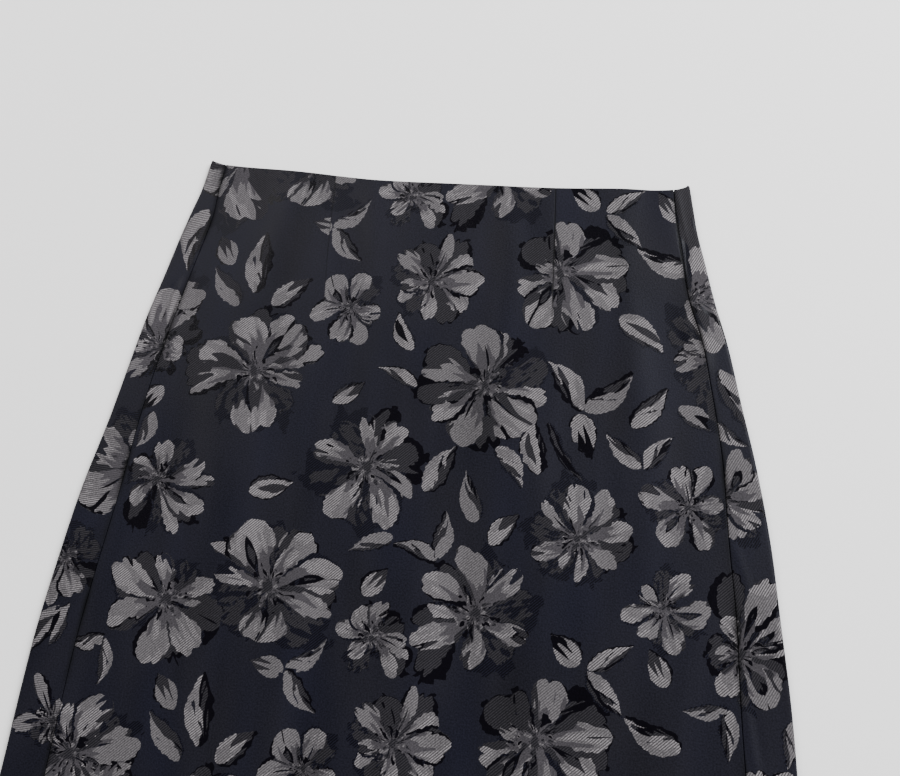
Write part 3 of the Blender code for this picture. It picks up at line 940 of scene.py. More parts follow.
def store_painted_seam_shade(mesh, painted_seam_shade):
    """Keep how much painted shade each point of the cloth takes along darts and seams, on both sides of
    a shell.
    """
    attribute = mesh.attributes.new("painted_seam_shade", "FLOAT", "POINT")
    values = np.tile(np.clip(painted_seam_shade, 0.0, 1.0).reshape(-1), 2)
    attribute.data.foreach_set("value", values.astype(np.float32))


def turned(points, degrees):
    """Turn plane points anticlockwise; the second coordinate runs up the skirt."""
    c, s = math.cos(math.radians(degrees)), math.sin(math.radians(degrees))
    x, y = points[..., 0], points[..., 1]
    return np.stack((x * c - y * s, x * s + y * c), axis=-1)


class Motif:
    """A petal, leaf or flower's middle on one chart of the cloth."""

    def __init__(self, chart, across, drop, length, angle, half_width, numbers, middle=0.5):
        self.chart = chart
        self.start = np.array((across, -drop))
        self.length = length
        self.heading = np.array((math.cos(math.radians(angle)), math.sin(math.radians(angle))))
        self.half_width = half_width
        self.numbers = numbers
        self.middle = middle

    def place(self, points):
        """Where points lie along and beside the motif, in millimetres."""
        offset = points - self.start
        along = offset @ self.heading
        beside = offset[..., 1] * self.heading[0] - offset[..., 0] * self.heading[1]
        return along, beside

    def away(self, points):
        """How far points are from the motif's middle, as a share of its reach."""
        along, beside = self.place(points)
        along_reach = self.length * 0.5 + MOTIF_MARGIN
        beside_reach = self.half_width + MOTIF_MARGIN
        return np.hypot(
            (along - self.middle * self.length) / along_reach, beside / beside_reach)


def store_motifs(mesh, names, motifs, corner_charts):
    """For each face, store its place in the nearest motifs and their numbers.

    With two names, the first one takes the motif that comes first in the list."""
    middles = {chart: points.mean(axis=1) for chart, points in corner_charts.items()}
    faces = len(next(iter(middles.values())))
    best = np.full((len(names), faces), np.inf)
    chosen = np.zeros((len(names), faces), int)
    for index, motif in enumerate(motifs):
        away = motif.away(middles[motif.chart])
        holder = np.full(faces, index)
        for slot in range(len(names)):
            nearer = away < best[slot]
            best[slot], away = np.where(nearer, (away, best[slot]), (best[slot], away))
            chosen[slot], holder = np.where(
                nearer, (holder, chosen[slot]), (chosen[slot], holder))
    chosen.sort(axis=0)
    for slot, name in enumerate(names):
        at = np.zeros((faces, 4, 3))
        kind = np.zeros((faces, 4, 3))
        for index, motif in enumerate(motifs):
            mine = np.nonzero(chosen[slot] == index)[0]
            along, beside = motif.place(corner_charts[motif.chart][mine])
            at[mine, :, 0] = along / motif.length
            at[mine, :, 1] = beside / motif.length
            kind[mine] = motif.numbers
        corner_vectors(mesh, name + "_at", at)
        corner_vectors(mesh, name + "_kind", kind)


def petal_motifs(chart, flowers, layer):
    """The petals of flowers, each as long and wide as its flower's design says."""
    motifs = []
    designs = list(FLOWER_DESIGNS)
    for across, drop, size, design in flowers:
        radius = size / 2.0
        first_seed = designs.index(design) * SEEDS_A_FLOWER
        rows = FLOWER_DESIGNS[design][layer]
        for index, (angle, length, half_width, form) in enumerate(rows):
            length, half_width = length / 100.0, half_width / 100.0
            numbers = (half_width / length, form, first_seed + index)
            motifs.append(Motif(
                chart, across, drop, length * radius, angle, half_width * radius, numbers,
                PETAL_MIDDLE))
    return motifs


def middle_motifs(chart, flowers):
    """The middles of flowers; each is as long as its flower's radius."""
    designs = list(FLOWER_DESIGNS)
    return [
        Motif(chart, across, drop, size / 2.0, 0.0, size / 2.0,
              (designs.index(design), 0.0, 0.0), 0.0)
        for across, drop, size, design in flowers
    ]


def leaf_motifs(chart, leaves):
    return [
        Motif(chart, across, drop, length, angle, LEAF_HALF_WIDTH * length, (kind, seed, 0.0))
        for across, drop, length, angle, kind, seed in leaves
    ]


def store_figure(mesh, flowers, leaves, corner_charts):
    """Store the places of every petal, flower's middle and leaf.

    The flowers and leaves are lists of rows for each chart of the cloth."""
    def store(names, make, rows, *more):
        motifs = [motif for chart in rows for motif in make(chart, rows[chart], *more)]
        store_motifs(mesh, names, motifs, corner_charts)

    store(("petal", "next_petal"), petal_motifs, flowers, "light")
    store(("dark_petal",), petal_motifs, flowers, "dark")
    store(("middle",), middle_motifs, flowers)
    store(("leaf",), leaf_motifs, leaves)


def repeated(rows, shift=(0, 0), copies=(-1, 0, 1, 2), widths=(0,)):
    """The rows of one repeat, set out over a whole panel."""
    return [
        (across + shift[0] + copy * REPEAT[0] + wide * BACK_WIDTH_REPEAT,
         drop + shift[1] + copy * REPEAT[1], *rest)
        for wide in widths for copy in copies for across, drop, *rest in rows
    ]


# ---- front panel
def dart_shift(side, drop):
    """How far a dart has drawn the cloth beyond it towards the middle.

    It runs on a little above the waist line, for the cloth that is turned in."""
    return side * DART_INTAKE * np.clip(1.0 - drop / DART_TIP, 0.0, 1.2)


def seam_columns(cloth, kind, offsets):
    """Columns up a seamed edge and close beside it, each (kind, inset, depth)."""
    edge = rolled_edge(cloth)
    beside = [(kind, edge[-1][0] + offset, 0.0) for offset in offsets]
    return [(kind, *point) for point in edge] + beside


def front_columns(cloth):
    """Columns of the front from left to right: each is (kind, value, depth)."""
    def even(kind, width):
        shares = even_steps(width, cloth.column_step / MM)[1:-1]
        return [(kind, share, 0.0) for share in shares]

    def dart(kind):
        before = [(kind, -offset, 0.0) for offset in reversed(NEAR_DART)]
        return before + [(kind, offset, 0.0) for offset in (0.0, *NEAR_DART)]

    left = seam_columns(cloth, "left_edge", NEAR_FRONT_SEAM) + even("left_side", SIDE_WIDTH)
    centre = dart("left_dart") + even("middle", MIDDLE_WIDTH) + dart("right_dart")
    right = even("right_side", SIDE_WIDTH)
    return left + centre + right + seam_columns(cloth, "right_edge", NEAR_FRONT_SEAM)[::-1]


def front_across(kind, value, drop):
    """Where a column of the front lies at each drop."""
    left_edge = outline("left_seam", drop) + half_gap("left", drop)
    right_edge = outline("right_seam", drop) - half_gap("right", drop)
    left_dart, right_dart = face_dart_lines(drop)
    spans = {
        "left_side": (left_edge + BESIDE_FRONT_SEAM, left_dart - NEAR_DART[-1]),
        "middle": (left_dart + NEAR_DART[-1], right_dart - NEAR_DART[-1]),
        "right_side": (right_dart + NEAR_DART[-1], right_edge - BESIDE_FRONT_SEAM),
    }
    if kind in spans:
        return blend(*spans[kind], value)
    return {
        "left_edge": left_edge + value,
        "left_dart": left_dart + value,
        "right_dart": right_dart + value,
        "right_edge": right_edge - value,
    }[kind]


def front_grid(cloth):
    """Middle of the front's cloth, its place in the uncut cloth, and its painted shade along the darts
    and side seams.
    """
    rows = Rows(cloth)
    columns = front_columns(cloth)
    groove = cloth.dart_groove / MM
    across, drop, depth, fabric = np.zeros((4, len(rows.values), len(columns)))
    nominal = np.array(rows.nominal) * LENGTH
    for column, (kind, value, sunk) in enumerate(columns):
        share = front_across(kind, value, nominal) / outline("right_fold", nominal)
        for row in range(len(rows.values)):
            drop[row, column], row_depth, fabric[row, column] = rows.place(row, share[row])
            depth[row, column] = sunk_together(row_depth, sunk)
        across[:, column] = front_across(kind, value, drop[:, column])
    lines = face_dart_lines(drop)
    grooves = dart_grooves(lines, DART_TIP, across, drop, (DART_SOFTNESS * groove, groove))
    depth = sunk_together(depth, np.minimum(grooves, DEEPEST_GROOVE))
    height = face_height(across, drop) - cloth.shell / MM / 2.0 - depth
    # painted shade in the darts' grooves and beside the side seams, where shade falls
    painted_seam_shade = along_darts(
        lines, DART_TIP, across, drop, (DART_SOFTNESS, 1.0), DART_SHADE_REACH)
    painted_seam_shade += painted_side_seam_shade(across, drop)
    return place(across, drop, height), np.stack((across, -fabric), axis=-1), painted_seam_shade


def beyond_darts(across, drop):
    """-1 to the left of the left dart, 1 to the right of the right one, and else 0."""
    left, right = face_dart_lines(drop)
    return 1.0 * (across > right) - 1.0 * (across < left)


def front_chart(fabric, corners):
    """Each corner's place in the cloth, with the darts let out."""
    points = fabric.reshape(-1, 2)[corners]
    middle = points.mean(axis=1)
    side = beyond_darts(middle[:, 0], -middle[:, 1])
    points[..., 0] += dart_shift(side[:, None], -points[..., 1])
    return points


def let_out(rows):
    """Motif rows moved to their place in the cloth with the darts let out."""
    return [
        (across + dart_shift(beyond_darts(across, drop), drop), drop, *rest)
        for across, drop, *rest in rows
    ]


def make_front_cloth(settings):
    cloth = settings.skirt_cloth
    middle, fabric, painted_seam_shade = front_grid(cloth)
    obj, corners = shell_mesh(
        "front_cloth", middle, cloth.shell, 1.0, cloth_materials(settings))
    # painted shade along the darts and side seams, for the material
    store_painted_seam_shade(obj.data, painted_seam_shade)
    chart = front_chart(fabric, corners)
    store_place(obj.data, chart)
    flowers = {"face": let_out([*repeated(FRONT_FLOWERS), *LONE_FLOWERS])}
    leaves = {"face": let_out(repeated(FRONT_LEAVES))}
    store_figure(obj.data, flowers, leaves, {"face": chart})
    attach(obj, "root")
    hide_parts("front_panel")


# ---- back panel
def back_columns(cloth):
    """Columns of the back: each is (part, side, value, depth)."""
    step = cloth.column_step / MM
    half = seam_columns(cloth, "edge", NEAR_BACK_SEAM)
    strip = even_steps(STRIP_WIDTH, step / STRIP_FINENESS)[1:]
    half += [("strip", share, 0.0) for share in strip]
    half += [("fold", math.pi * turn / FOLD_STEPS, 0.0) for turn in range(1, FOLD_STEPS)]
    left, right = ([(part, side, *rest) for part, *rest in half] for side in SIGNS)
    under = [("under", "", share, 0.0) for share in even_steps(BACK_WIDTH, step)]
    return left + under + right[::-1]


def edge_normal(side, drop):
    """Outward direction of a side fold in the plane, as (across, up)."""
    reach = 4.0
    lower = outline(side + "_fold", drop + reach)
    upper = outline(side + "_fold", drop - reach)
    slope = (lower - upper) / (2.0 * reach)
    length = np.hypot(1.0, slope)
    return np.array((SIGNS[side] / length, SIGNS[side] * slope / length))


def back_point(column, rows, row, shell):
    """One point of the back: across, drop, height, depth, drop in the cloth and how
    far round the side fold it lies.  The height is unset where it follows the face."""
    part, side, value, sunk = column
    sign = SIGNS.get(side)
    if part in ("edge", "strip"):
        drop = rows.nominal[row] * LENGTH
        for _ in range(3):
            seam = outline(side + "_seam", drop) + sign * half_gap(side, drop)
            across = seam + sign * value
            if part == "strip":
                start = seam + sign * BESIDE_BACK_SEAM
                across = blend(start, fold_centre(side, drop), value)
            share = across / abs(outline(side + "_fold", drop))
            drop, depth, fabric = rows.place(row, share)
        beyond = -abs(fold_centre(side, drop) - across)
        return across, drop, np.nan, sunk_together(depth, sunk), fabric, beyond
    if part == "fold":
        drop, depth, fabric = rows.place(row, sign)
        radius = FOLD_OUTSIDE - shell / 2.0 - depth
        across = fold_centre(side, drop) + sign * radius * math.sin(value)
        height = FOLD_OUTSIDE + radius * math.cos(value)
        return across, drop, height, 0.0, fabric, FOLD_OUTSIDE * value
    share = blend(-1.0, 1.0, value)
    drop, depth, fabric = rows.place(row, share, BACK_WAIST_DIP * (1.0 - share * share))
    left = fold_centre("left", drop_at(-1.0, rows.nominal[row]))
    right = fold_centre("right", drop_at(1.0, rows.nominal[row]))
    across = blend(left, right, value)
    beyond = HALF_TURN + min(across - left, right - across)
    return across, drop, shell / 2.0 + depth, 0.0, fabric, beyond


def back_grid(cloth):
    """The back's columns, and its points' across, drop, height, drop in the cloth, way
    round the side fold and the painted shade that each takes along darts and seams."""
    rows = Rows(cloth)
    columns = back_columns(cloth)
    shell = cloth.shell / MM
    grid = np.zeros((6, len(rows.values), len(columns)))
    for j, column in enumerate(columns):
        for i in range(len(rows.values)):
            grid[:, i, j] = back_point(column, rows, i, shell)
    across, drop, height, depth, fabric, beyond = grid
    face = face_height(across, drop) - shell / 2.0 - depth
    height = np.where(np.isnan(height), face, height)
    under = np.array([column[0] == "under" for column in columns])
    lift = creases(BACK_CREASES, across, drop)
    lift *= smooth((beyond - HALF_TURN) / BACK_EDGE_FADE)
    depths = (cloth.dart_groove / MM,) * len(BACK_DARTS)
    lift += dart_grooves(BACK_DARTS, BACK_DART_TIP, across, drop, depths)
    height += np.where(under, np.maximum(lift, 0.0), 0.0)
    # painted shade along the back's darts, and beside the side seams on the strips
    dart_shade_strengths = (1.0,) * len(BACK_DARTS)
    painted_dart_shade = along_darts(
        BACK_DARTS, BACK_DART_TIP, across, drop, dart_shade_strengths, DART_SHADE_REACH)
    painted_seam_shade = np.where(under, painted_dart_shade, painted_side_seam_shade(across, drop))
    return columns, across, drop, height, fabric, beyond, painted_seam_shade


def back_charts(across, fabric, beyond, columns, corners):
    """Two flat charts of the back's corners: one laid out from the face, one from
    the side on the floor, each running on round both side folds."""
    face = np.stack((across, -fabric), axis=-1)
    floor = face.copy()
    for j, column in enumerate(columns):
        side = "left" if j < len(columns) // 2 else "right"
        normal = edge_normal(side, fabric[:, j]).T
        centre = fold_centre(side, fabric[:, j])
        if column[0] == "fold":
            root = np.stack((centre, -fabric[:, j]), axis=-1)
            out = beyond[:, j, None]
            face[:, j] = root + normal * out
            floor[:, j] = root + normal * (HALF_TURN - out)
        else:
            near = np.abs(centre - across[:, j]) * np.abs(normal[:, 0])
            chart = face if column[0] == "under" else floor
            chart[:, j] += normal * (2.0 * near + HALF_TURN)[:, None]
    floor[..., 0] *= -1.0
    return {
        "face": face.reshape(-1, 2)[corners],
        "floor": floor.reshape(-1, 2)[corners],
    }


def clear_of_folds(rows, margin):
    """Rows of the back's own figure that keep clear of the two side folds.

    The margin is a share of the motif's size."""
    kept = []
    for row in repeated(rows, BACK_SHIFT, (-2, -1, 0, 1), (-1, 0, 1)):
        drop = min(max(row[1], 0.0), LENGTH)
        left = outline("left_fold", drop) + margin * row[2]
        right = outline("right_fold", drop) - margin * row[2]
        if left < -row[0] < right:
            kept.append(row)
    return kept


def back_grain(charts, columns, corners):
    """Cloth coordinates for the weave, turned with the grain of each side."""
    column = (corners % len(columns)).mean(axis=1)
    is_under = np.array([column[0] == "under" for column in columns])
    under = is_under[column.astype(int)]
    left = column < len(columns) / 2.0
    points = np.where(under[:, None, None], charts["floor"], charts["face"])
    for chosen, grain in ((~under & left, LEFT_GRAIN), (~under & ~left, RIGHT_GRAIN)):
        points[chosen] = turned(points[chosen], -grain)
    return points


def make_back_cloth(settings):
    cloth = settings.skirt_cloth
    columns, across, drop, height, fabric, beyond, painted_seam_shade = back_grid(cloth)
    middle = place(across, drop, height)
    obj, corners = shell_mesh(
        "back_cloth", middle, cloth.shell, -1.0, cloth_materials(settings))
    # painted shade along darts and side seams, for the material
    store_painted_seam_shade(obj.data, painted_seam_shade)
    charts = back_charts(across, fabric, beyond, columns, corners)
    store_place(obj.data, back_grain(charts, columns, corners))
    flowers = {"face": STRIP_FLOWERS, "floor": clear_of_folds(FRONT_FLOWERS, FLOWER_CLEAR)}
    leaves = {"face": STRIP_LEAVES, "floor": clear_of_folds(FRONT_LEAVES, LEAF_CLEAR)}
    store_figure(obj.data, flowers, leaves, charts)
    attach(obj, "root")
    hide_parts("back_panel")


# ---- zip
def tape_top(across, drop):
    """Height of the tape's upper face, just under the cloth's turned wall."""
    return face_height(across, drop) - CLOTH - SEAM_GAP


def make_zip_tape(settings):
    tape = settings.skirt_zip.tape
    offsets = np.array(TAPE_COLUMNS)
    nominal = ZIP_TOP + np.array(even_steps(ZIP_LENGTH, TAPE_ROW_STEP)) * ZIP_LENGTH
    share = outline("right_seam", nominal) / outline("right_fold", nominal)
    drop = np.tile(drop_at(share, nominal / LENGTH)[:, None], len(offsets))
    across = outline("right_seam", drop) + offsets
    middle = place(across, drop, tape_top(across, drop) - tape / MM / 2.0)
    materials = (tape_material(settings),) * 2
    obj, corners = shell_mesh("zip_tape_woven", middle, tape, 1.0, materials)
    flat = np.stack(np.broadcast_arrays(offsets, -drop), axis=-1)
    store_place(obj.data, flat.reshape(-1, 2)[corners])
    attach(obj, "root")
    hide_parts("zip_tape")


def tube_along(path, radius, sides):
    """Rings of points round a path, and the faces between them."""
    ahead = np.gradient(path, axis=0)
    ahead /= np.linalg.norm(ahead, axis=-1, keepdims=True)
    beside = np.cross(ahead, (0.0, 1.0, 0.0))
    beside /= np.linalg.norm(beside, axis=-1, keepdims=True)
    above = np.cross(beside, ahead)
    turn = (2.0 * math.pi * np.arange(sides) / sides)[None, :, None]
    offset = np.cos(turn) * beside[:, None] + np.sin(turn) * above[:, None]
    rings = path[:, None] + radius * offset
    index = np.arange(len(path) * sides).reshape(len(path), sides)
    following = np.roll(index, -1, axis=1)
    quads = np.stack((index[:-1], following[:-1], following[1:], index[1:]), axis=-1)
    caps = [index[0][::-1].tolist(), index[-1].tolist()]
    return rings.reshape(-1, 3), quads.reshape(-1, 4).tolist() + caps


def make_zip_coil(settings):
    """The nylon coil: two flattened spirals that mesh along the seam."""
    sizes = settings.skirt_zip
    pitch, wire = sizes.pitch / MM, sizes.wire / MM
    turns = (ZIP_TOP + ZIP_LENGTH - COIL_END - COIL_TOP) / pitch
    phase = np.linspace(0.0, turns, int(turns * COIL_TURN_POINTS) + 1)
    reach = (sizes.coil_width / MM - wire) / 2.0
    depth = sizes.coil_height / MM / 2.0
    swing = np.cos(2.0 * math.pi * phase)
    lift = (depth - wire / 2.0) * np.sin(2.0 * math.pi * phase)
    points, faces = [], []
    for side in (-1.0, 1.0):
        drop = COIL_TOP + phase * pitch + (0.5 * pitch if side > 0 else 0.0)
        apart = blend(reach * swing, reach, COIL_APART)
        across = outline("right_seam", drop) + side * apart
        below = tape_top(across, drop) - sizes.tape / MM - COIL_GAP
        path = place(across, drop, below - depth + lift)
        rings, quads = tube_along(path, sizes.wire / 2.0, COIL_SIDES)
        faces += [[index + len(points) for index in quad] for quad in quads]
        points += rings.tolist()
    obj = add_mesh("zip_coil", points, faces, [coil_material(settings)])
    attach(obj, "root")


def dress_slider(settings):
    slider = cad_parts["zip_slider"]
    slider.data.materials.clear()
    slider.data.materials.append(slider_material(settings))


# ---- sums in node trees
def join(tree, value, socket):
    if isinstance(value, Number):
        tree.links.new(value.socket, socket)
    elif isinstance(value, bpy.types.NodeSocket):
        tree.links.new(value, socket)
    else:
        socket.default_value = value


def compute(tree, operation, *values):
    node = tree.nodes.new("ShaderNodeMath")
    node.operation = operation
    for value, socket in zip(values, node.inputs):
        join(tree, value, socket)
    return Number(tree, node.outputs[0])


def arithmetic(operation, backwards=False):
    """A sum of a number with others; backwards puts the number last."""
    def work_out(number, *others):
        values = (*others, number) if backwards else (number, *others)
        return compute(number.tree, operation, *values)
    return work_out


class Number:
    """A number or mask in a node tree that takes the signs of arithmetic."""

    def __init__(self, tree, socket):
        self.tree = tree
        self.socket = socket

    __add__ = __radd__ = arithmetic("ADD")
    __sub__ = arithmetic("SUBTRACT")
    __rsub__ = arithmetic("SUBTRACT", backwards=True)
    __mul__ = __rmul__ = __and__ = arithmetic("MULTIPLY")
    __or__ = arithmetic("MAXIMUM")
    __truediv__ = arithmetic("DIVIDE")
    __pow__ = arithmetic("POWER")
    __gt__ = arithmetic("GREATER_THAN")
    __lt__ = arithmetic("LESS_THAN")
    __abs__ = arithmetic("ABSOLUTE")

    def __neg__(self):
        return self * -1.0


sine = arithmetic("SINE")
cosine = arithmetic("COSINE")
part_of = arithmetic("FRACT")
whole = arithmetic("FLOOR")
lesser = arithmetic("MINIMUM")
greater = arithmetic("MAXIMUM")


def held(value):
    """Kept between 0 and 1."""
    return lesser(greater(value, 0.0), 1.0)


def eased(value):
    t = held(value)
    return t * t * (3.0 - 2.0 * t)


def pick(mask, there, otherwise):
    node = mask.tree.nodes.new("ShaderNodeMix")
    for label, value in (("Factor", mask), ("A", otherwise), ("B", there)):
        join(mask.tree, value, node.inputs[label])
    return Number(mask.tree, node.outputs["Result"])


def vector(tree, x, y, z=0.0):
    node = tree.nodes.new("ShaderNodeCombineXYZ")
    for value, socket in zip((x, y, z), node.inputs):
        join(tree, value, socket)
    return node.outputs[0]


def split(tree, socket, kind="XYZ"):
    node = tree.nodes.new("ShaderNodeSeparate" + kind)
    tree.links.new(socket, node.inputs[0])
    return [Number(tree, output) for output in node.outputs]


def cloud(x, y, scale=1.0, detail=0.0):
    """Soft noise about zero, mostly between -0.5 and 0.5."""
    node = x.tree.nodes.new("ShaderNodeTexNoise")
    node.noise_dimensions = "2D"
    x.tree.links.new(vector(x.tree, x * scale, y * scale), node.inputs["Vector"])
    node.inputs["Scale"].default_value = 1.0
    node.inputs["Detail"].default_value = detail
    return (Number(x.tree, node.outputs["Fac"]) - 0.5) * 1.5


def chances(first, seed, count):
    """A list of fixed random numbers for a petal or leaf, between 0 and 1."""
    tree = seed.tree
    numbers = []
    for index in range(0, count, 3):
        node = tree.nodes.new("ShaderNodeTexWhiteNoise")
        node.noise_dimensions = "3D"
        tree.links.new(vector(tree, first, seed, index), node.inputs["Vector"])
        numbers += split(tree, node.outputs["Color"], "Color")
    return numbers[:count]


def new_group(name, inputs, outputs):
    """A node group; returns its tree, its inputs by name and its exit node."""
    tree = bpy.data.node_groups.new(name, "ShaderNodeTree")
    for label, kind in inputs.items():
        tree.interface.new_socket(name=label, in_out="INPUT", socket_type="NodeSocket" + kind)
    for label in outputs:
        tree.interface.new_socket(name=label, in_out="OUTPUT", socket_type="NodeSocketFloat")
    entry = tree.nodes.new("NodeGroupInput")
    return tree, entry.outputs, tree.nodes.new("NodeGroupOutput")


def motif_group(name, *outputs):
    """A node group for one kind of motif; returns the parts of its inputs and its exit.

    At is the place (along, beside) in the motif's length, and Shape its numbers."""
    tree, inputs, leave = new_group(name, {"At": "Vector", "Shape": "Vector"}, outputs)
    return split(tree, inputs["At"]), split(tree, inputs["Shape"]), leave


def feed(tree, node, **values):
    """Join values to a node's inputs; an underscore in a label stands for a space."""
    for label, value in values.items():
        join(tree, value, node.inputs[label.replace("_", " ")])


# ---- woven flowers and leaves
def frayed(along, beside, seed, lean, slim, short):
    """Streaks of noise that lean to one side, for the ends of brush strokes."""
    run = along * math.cos(lean) + beside * math.sin(lean)
    over = beside * math.cos(lean) - along * math.sin(lean)
    broad = cloud(over * slim + seed * 3.7, run * short)
    fine = cloud(over * (2.3 * slim) + seed * 5.3, run * (2.1 * short))
    return 0.80 * broad + 0.25 * fine


def soft_and_rough(along, beside, seed, soft_scale, rough_scale):
    """Two clouds of one motif, which move its outline a little."""
    soft = cloud(along + seed * 7.0, beside, soft_scale)
    return soft, cloud(along + seed * 3.0, beside, rough_scale)


def petal_outline(along, beside, width, seed, chance):
    """How far inside its outline a point of a petal lies, in petal lengths."""
    soft, rough = soft_and_rough(along, beside, seed, 4.2, 13.0)
    bend = (chance[0] - 0.5) * 0.24 * sine(held(along) * math.pi)
    beside = beside - bend
    aside = beside / width - (chance[1] - 0.5) * 1.2
    notch = (0.20 * chance[2] - 0.03) / (1.0 + aside * aside * 24.0)
    run = along * (1.0 + notch) + 0.06 * soft
    base = 0.12 + 0.12 * chance[3]
    swell = base + (1.0 - base) * eased((run - 0.04) / 0.68)
    end = held((run - PETAL_ROUNDS_FROM) / (1.0 - PETAL_ROUNDS_FROM))
    rounded = greater(1.0 - end ** 2.3, 0.0) ** 0.46
    half = PETAL_FULLNESS * width * swell * rounded
    inside = lesser(half - abs(beside), 1.0 - run) + 0.02 * soft + 0.035 * rough
    return inside, beside, half, run


def petal_group():
    """A light petal; its Shape holds its half width, form and seed.

    Tone is the weave, and Shadow a thin line round the petal."""
    (along, beside, _), (width, form, seed), leave = motif_group(
        "woven_petal", "Tone", "Shadow")
    form, seed = whole(form + 0.5), whole(seed + 0.5)
    chance = chances(seed + 2.0, seed, 18)
    inside, beside, half, run = petal_outline(along, beside, width, seed, chance)
    started = along > 0.02
    side = pick(chance[4] > 0.5, 1.0, -1.0)
    strokes = frayed(along, beside, seed, lean=0.0, slim=9.5, short=1.7)
    slant = frayed(along, beside * side, seed + 50.0, lean=0.42, slim=9.0, short=2.2)
    toward = beside * side / half
    # a black crescent along one side, from where the petal begins to widen
    bulge = (0.050 + 0.045 * chance[5]) * sine(held((along - 0.12) / 0.92) * math.pi)
    crescent = (inside > -bulge) & (toward < 0.1) & (chance[6] > 0.22) & started
    tone = pick(crescent, pick(chance[6] > 0.62, FLOATS, HATCH), GROUND)
    # the light weave, plainer in patches and greyer near the flower's middle
    light = pick(chance[7] > 0.25, LIGHT, PLAIN)
    patch = cloud(along * 2.4 + seed * 11.0, beside * 3.0) + 0.5 * strokes > 0.09
    light = pick(patch, PLAIN, light)
    brushed = 0.61 + 0.26 * chance[9] - run + 0.75 * strokes > 0.0
    light = pick(brushed & (chance[10] > 0.2), PLAIN, light)
    light = pick((0.41 + 0.16 * chance[8]) - run + 0.62 * strokes > 0.0, MIDDLE, light)
    # a dark streak that runs up one side from the petal's base
    streak = held((0.54 + 0.20 * chance[16]) - run) * (0.9 + 0.6 * chance[17])
    streaked = (toward + streak + 0.8 * strokes > 1.0) & (chance[5] > 0.35)
    light = pick(streaked, DARK, light)
    # the frayed end of some petals, and a short fray on the side of others
    fray_from = 0.84 + 0.12 * chance[9] - 0.26 * toward
    torn = (abs(form - FRAYED) < 0.5) & (run - 0.85 * strokes > fray_from)
    light = pick(torn, pick(chance[10] > 0.4, DARK, GROUND), light)
    torn_edge = torn & (run - 0.85 * strokes < fray_from + 0.07)
    light = pick(torn_edge & (chance[10] > 0.4) & (chance[11] > 0.5), FLOATS, light)
    bound = 0.68 + 0.30 * chance[12] - 1.7 * slant * sine(held((run - 0.15) / 0.80) * math.pi)
    side_torn = (toward > bound) & (chance[13] > 0.22) & (run > 0.15)
    light = pick(side_torn, DARK, light)
    light = pick(side_torn & (toward < bound + 0.22) & (chance[14] > 0.5), FLOATS, light)
    # an almond slit inside the petal, or a dark wedge from its base
    is_slit = abs(form - SLIT) < 0.5
    is_wedge = form > WEDGE - 0.5
    middle = beside - (chance[15] - 0.5) * 0.55 * width
    slit_run = held((run - 0.16) / (0.52 + 0.16 * chance[16]))
    slit_half = (0.22 + 0.16 * chance[17]) * width * sine(slit_run ** 1.4 * math.pi)
    slit = slit_half + 0.30 * width * strokes * (run > 0.5) - abs(middle)
    light = pick(is_slit & (slit > 0.0), DARK, light)
    lined = (slit > 0.0) & (slit < 0.05 + 0.4 * middle * side)
    light = pick(is_slit & lined, FLOATS, light)
    wedge_half = 0.75 * width * held(1.15 - run * 1.6) + 0.5 * width * strokes
    wedge = is_wedge & (wedge_half - abs(middle) > 0.0) & (run > 0.10)
    light = pick(wedge, DARK, light)
    light = pick(wedge & (middle * side > 0.30 * wedge_half), FLOATS, light)
    # a thin vein on some whole petals
    vein = abs(middle) < 0.018 * sine(held((run - 0.15) / 0.5) * math.pi)
    light = pick(vein & (form < 0.5) & (chance[9] > 0.5), FLOATS, light)
    tone = pick((inside > 0.0) & started, light, tone)
    shadow = (inside > -0.030 - 0.05 * chance[8]) & (run > 0.25)
    feed(tone.tree, leave, Tone=tone, Shadow=shadow)
    return tone.tree


def dark_petal_group():
    """A dark petal behind the light ones: with a black rim, dim and rough, or black."""
    (along, beside, _), (width, form, seed), leave = motif_group("woven_dark_petal", "Tone")
    seed = whole(seed + 0.5)
    chance = chances(seed + 7.0, seed + 3.0, 9)
    inside, beside, _, run = petal_outline(along, beside, width, seed, chance)
    strokes = frayed(along, beside, seed, lean=0.0, slim=10.0, short=1.8)
    slant = frayed(along, beside, seed + 9.0, lean=0.6, slim=8.0, short=3.0)
    is_black = form > BLACK - 0.5
    is_dim = (form > DIM - 0.5) & (1.0 - is_black)
    started = along > 0.05
    across = beside / width * (2.0 * whole(chance[4] + 0.5) - 1.0)
    edge = (0.025 + 0.045 * chance[5]) * held(run * 1.5 - 0.2) * (1.3 + across)
    inside = inside + is_dim * (0.10 * slant + 0.05 * strokes)
    edge = edge * (1.0 + 0.8 * is_dim)
    tone = pick((inside > -edge) & started, pick(is_dim, HATCH, FLOATS), GROUND)
    body = pick(is_dim & (slant + strokes > 0.12), HATCH, DARK)
    tone = pick((inside > 0.0) & started, body, tone)
    black = (strokes + 0.5 * across * chance[6] > 0.16 + 0.3 * run) & (chance[7] > 0.2)
    tone = pick((inside > 0.0) & started & black & (1.0 - is_dim), FLOATS, tone)
    worn_spot = (inside > 0.07 + 0.05 * chance[8] + 0.22 * strokes) & (run > 0.30)
    black_body = pick(worn_spot, DARK, FLOATS)
    tone = pick((inside > -0.5 * edge) & started & is_black, black_body, tone)
    feed(tone.tree, leave, Tone=tone)
    return tone.tree


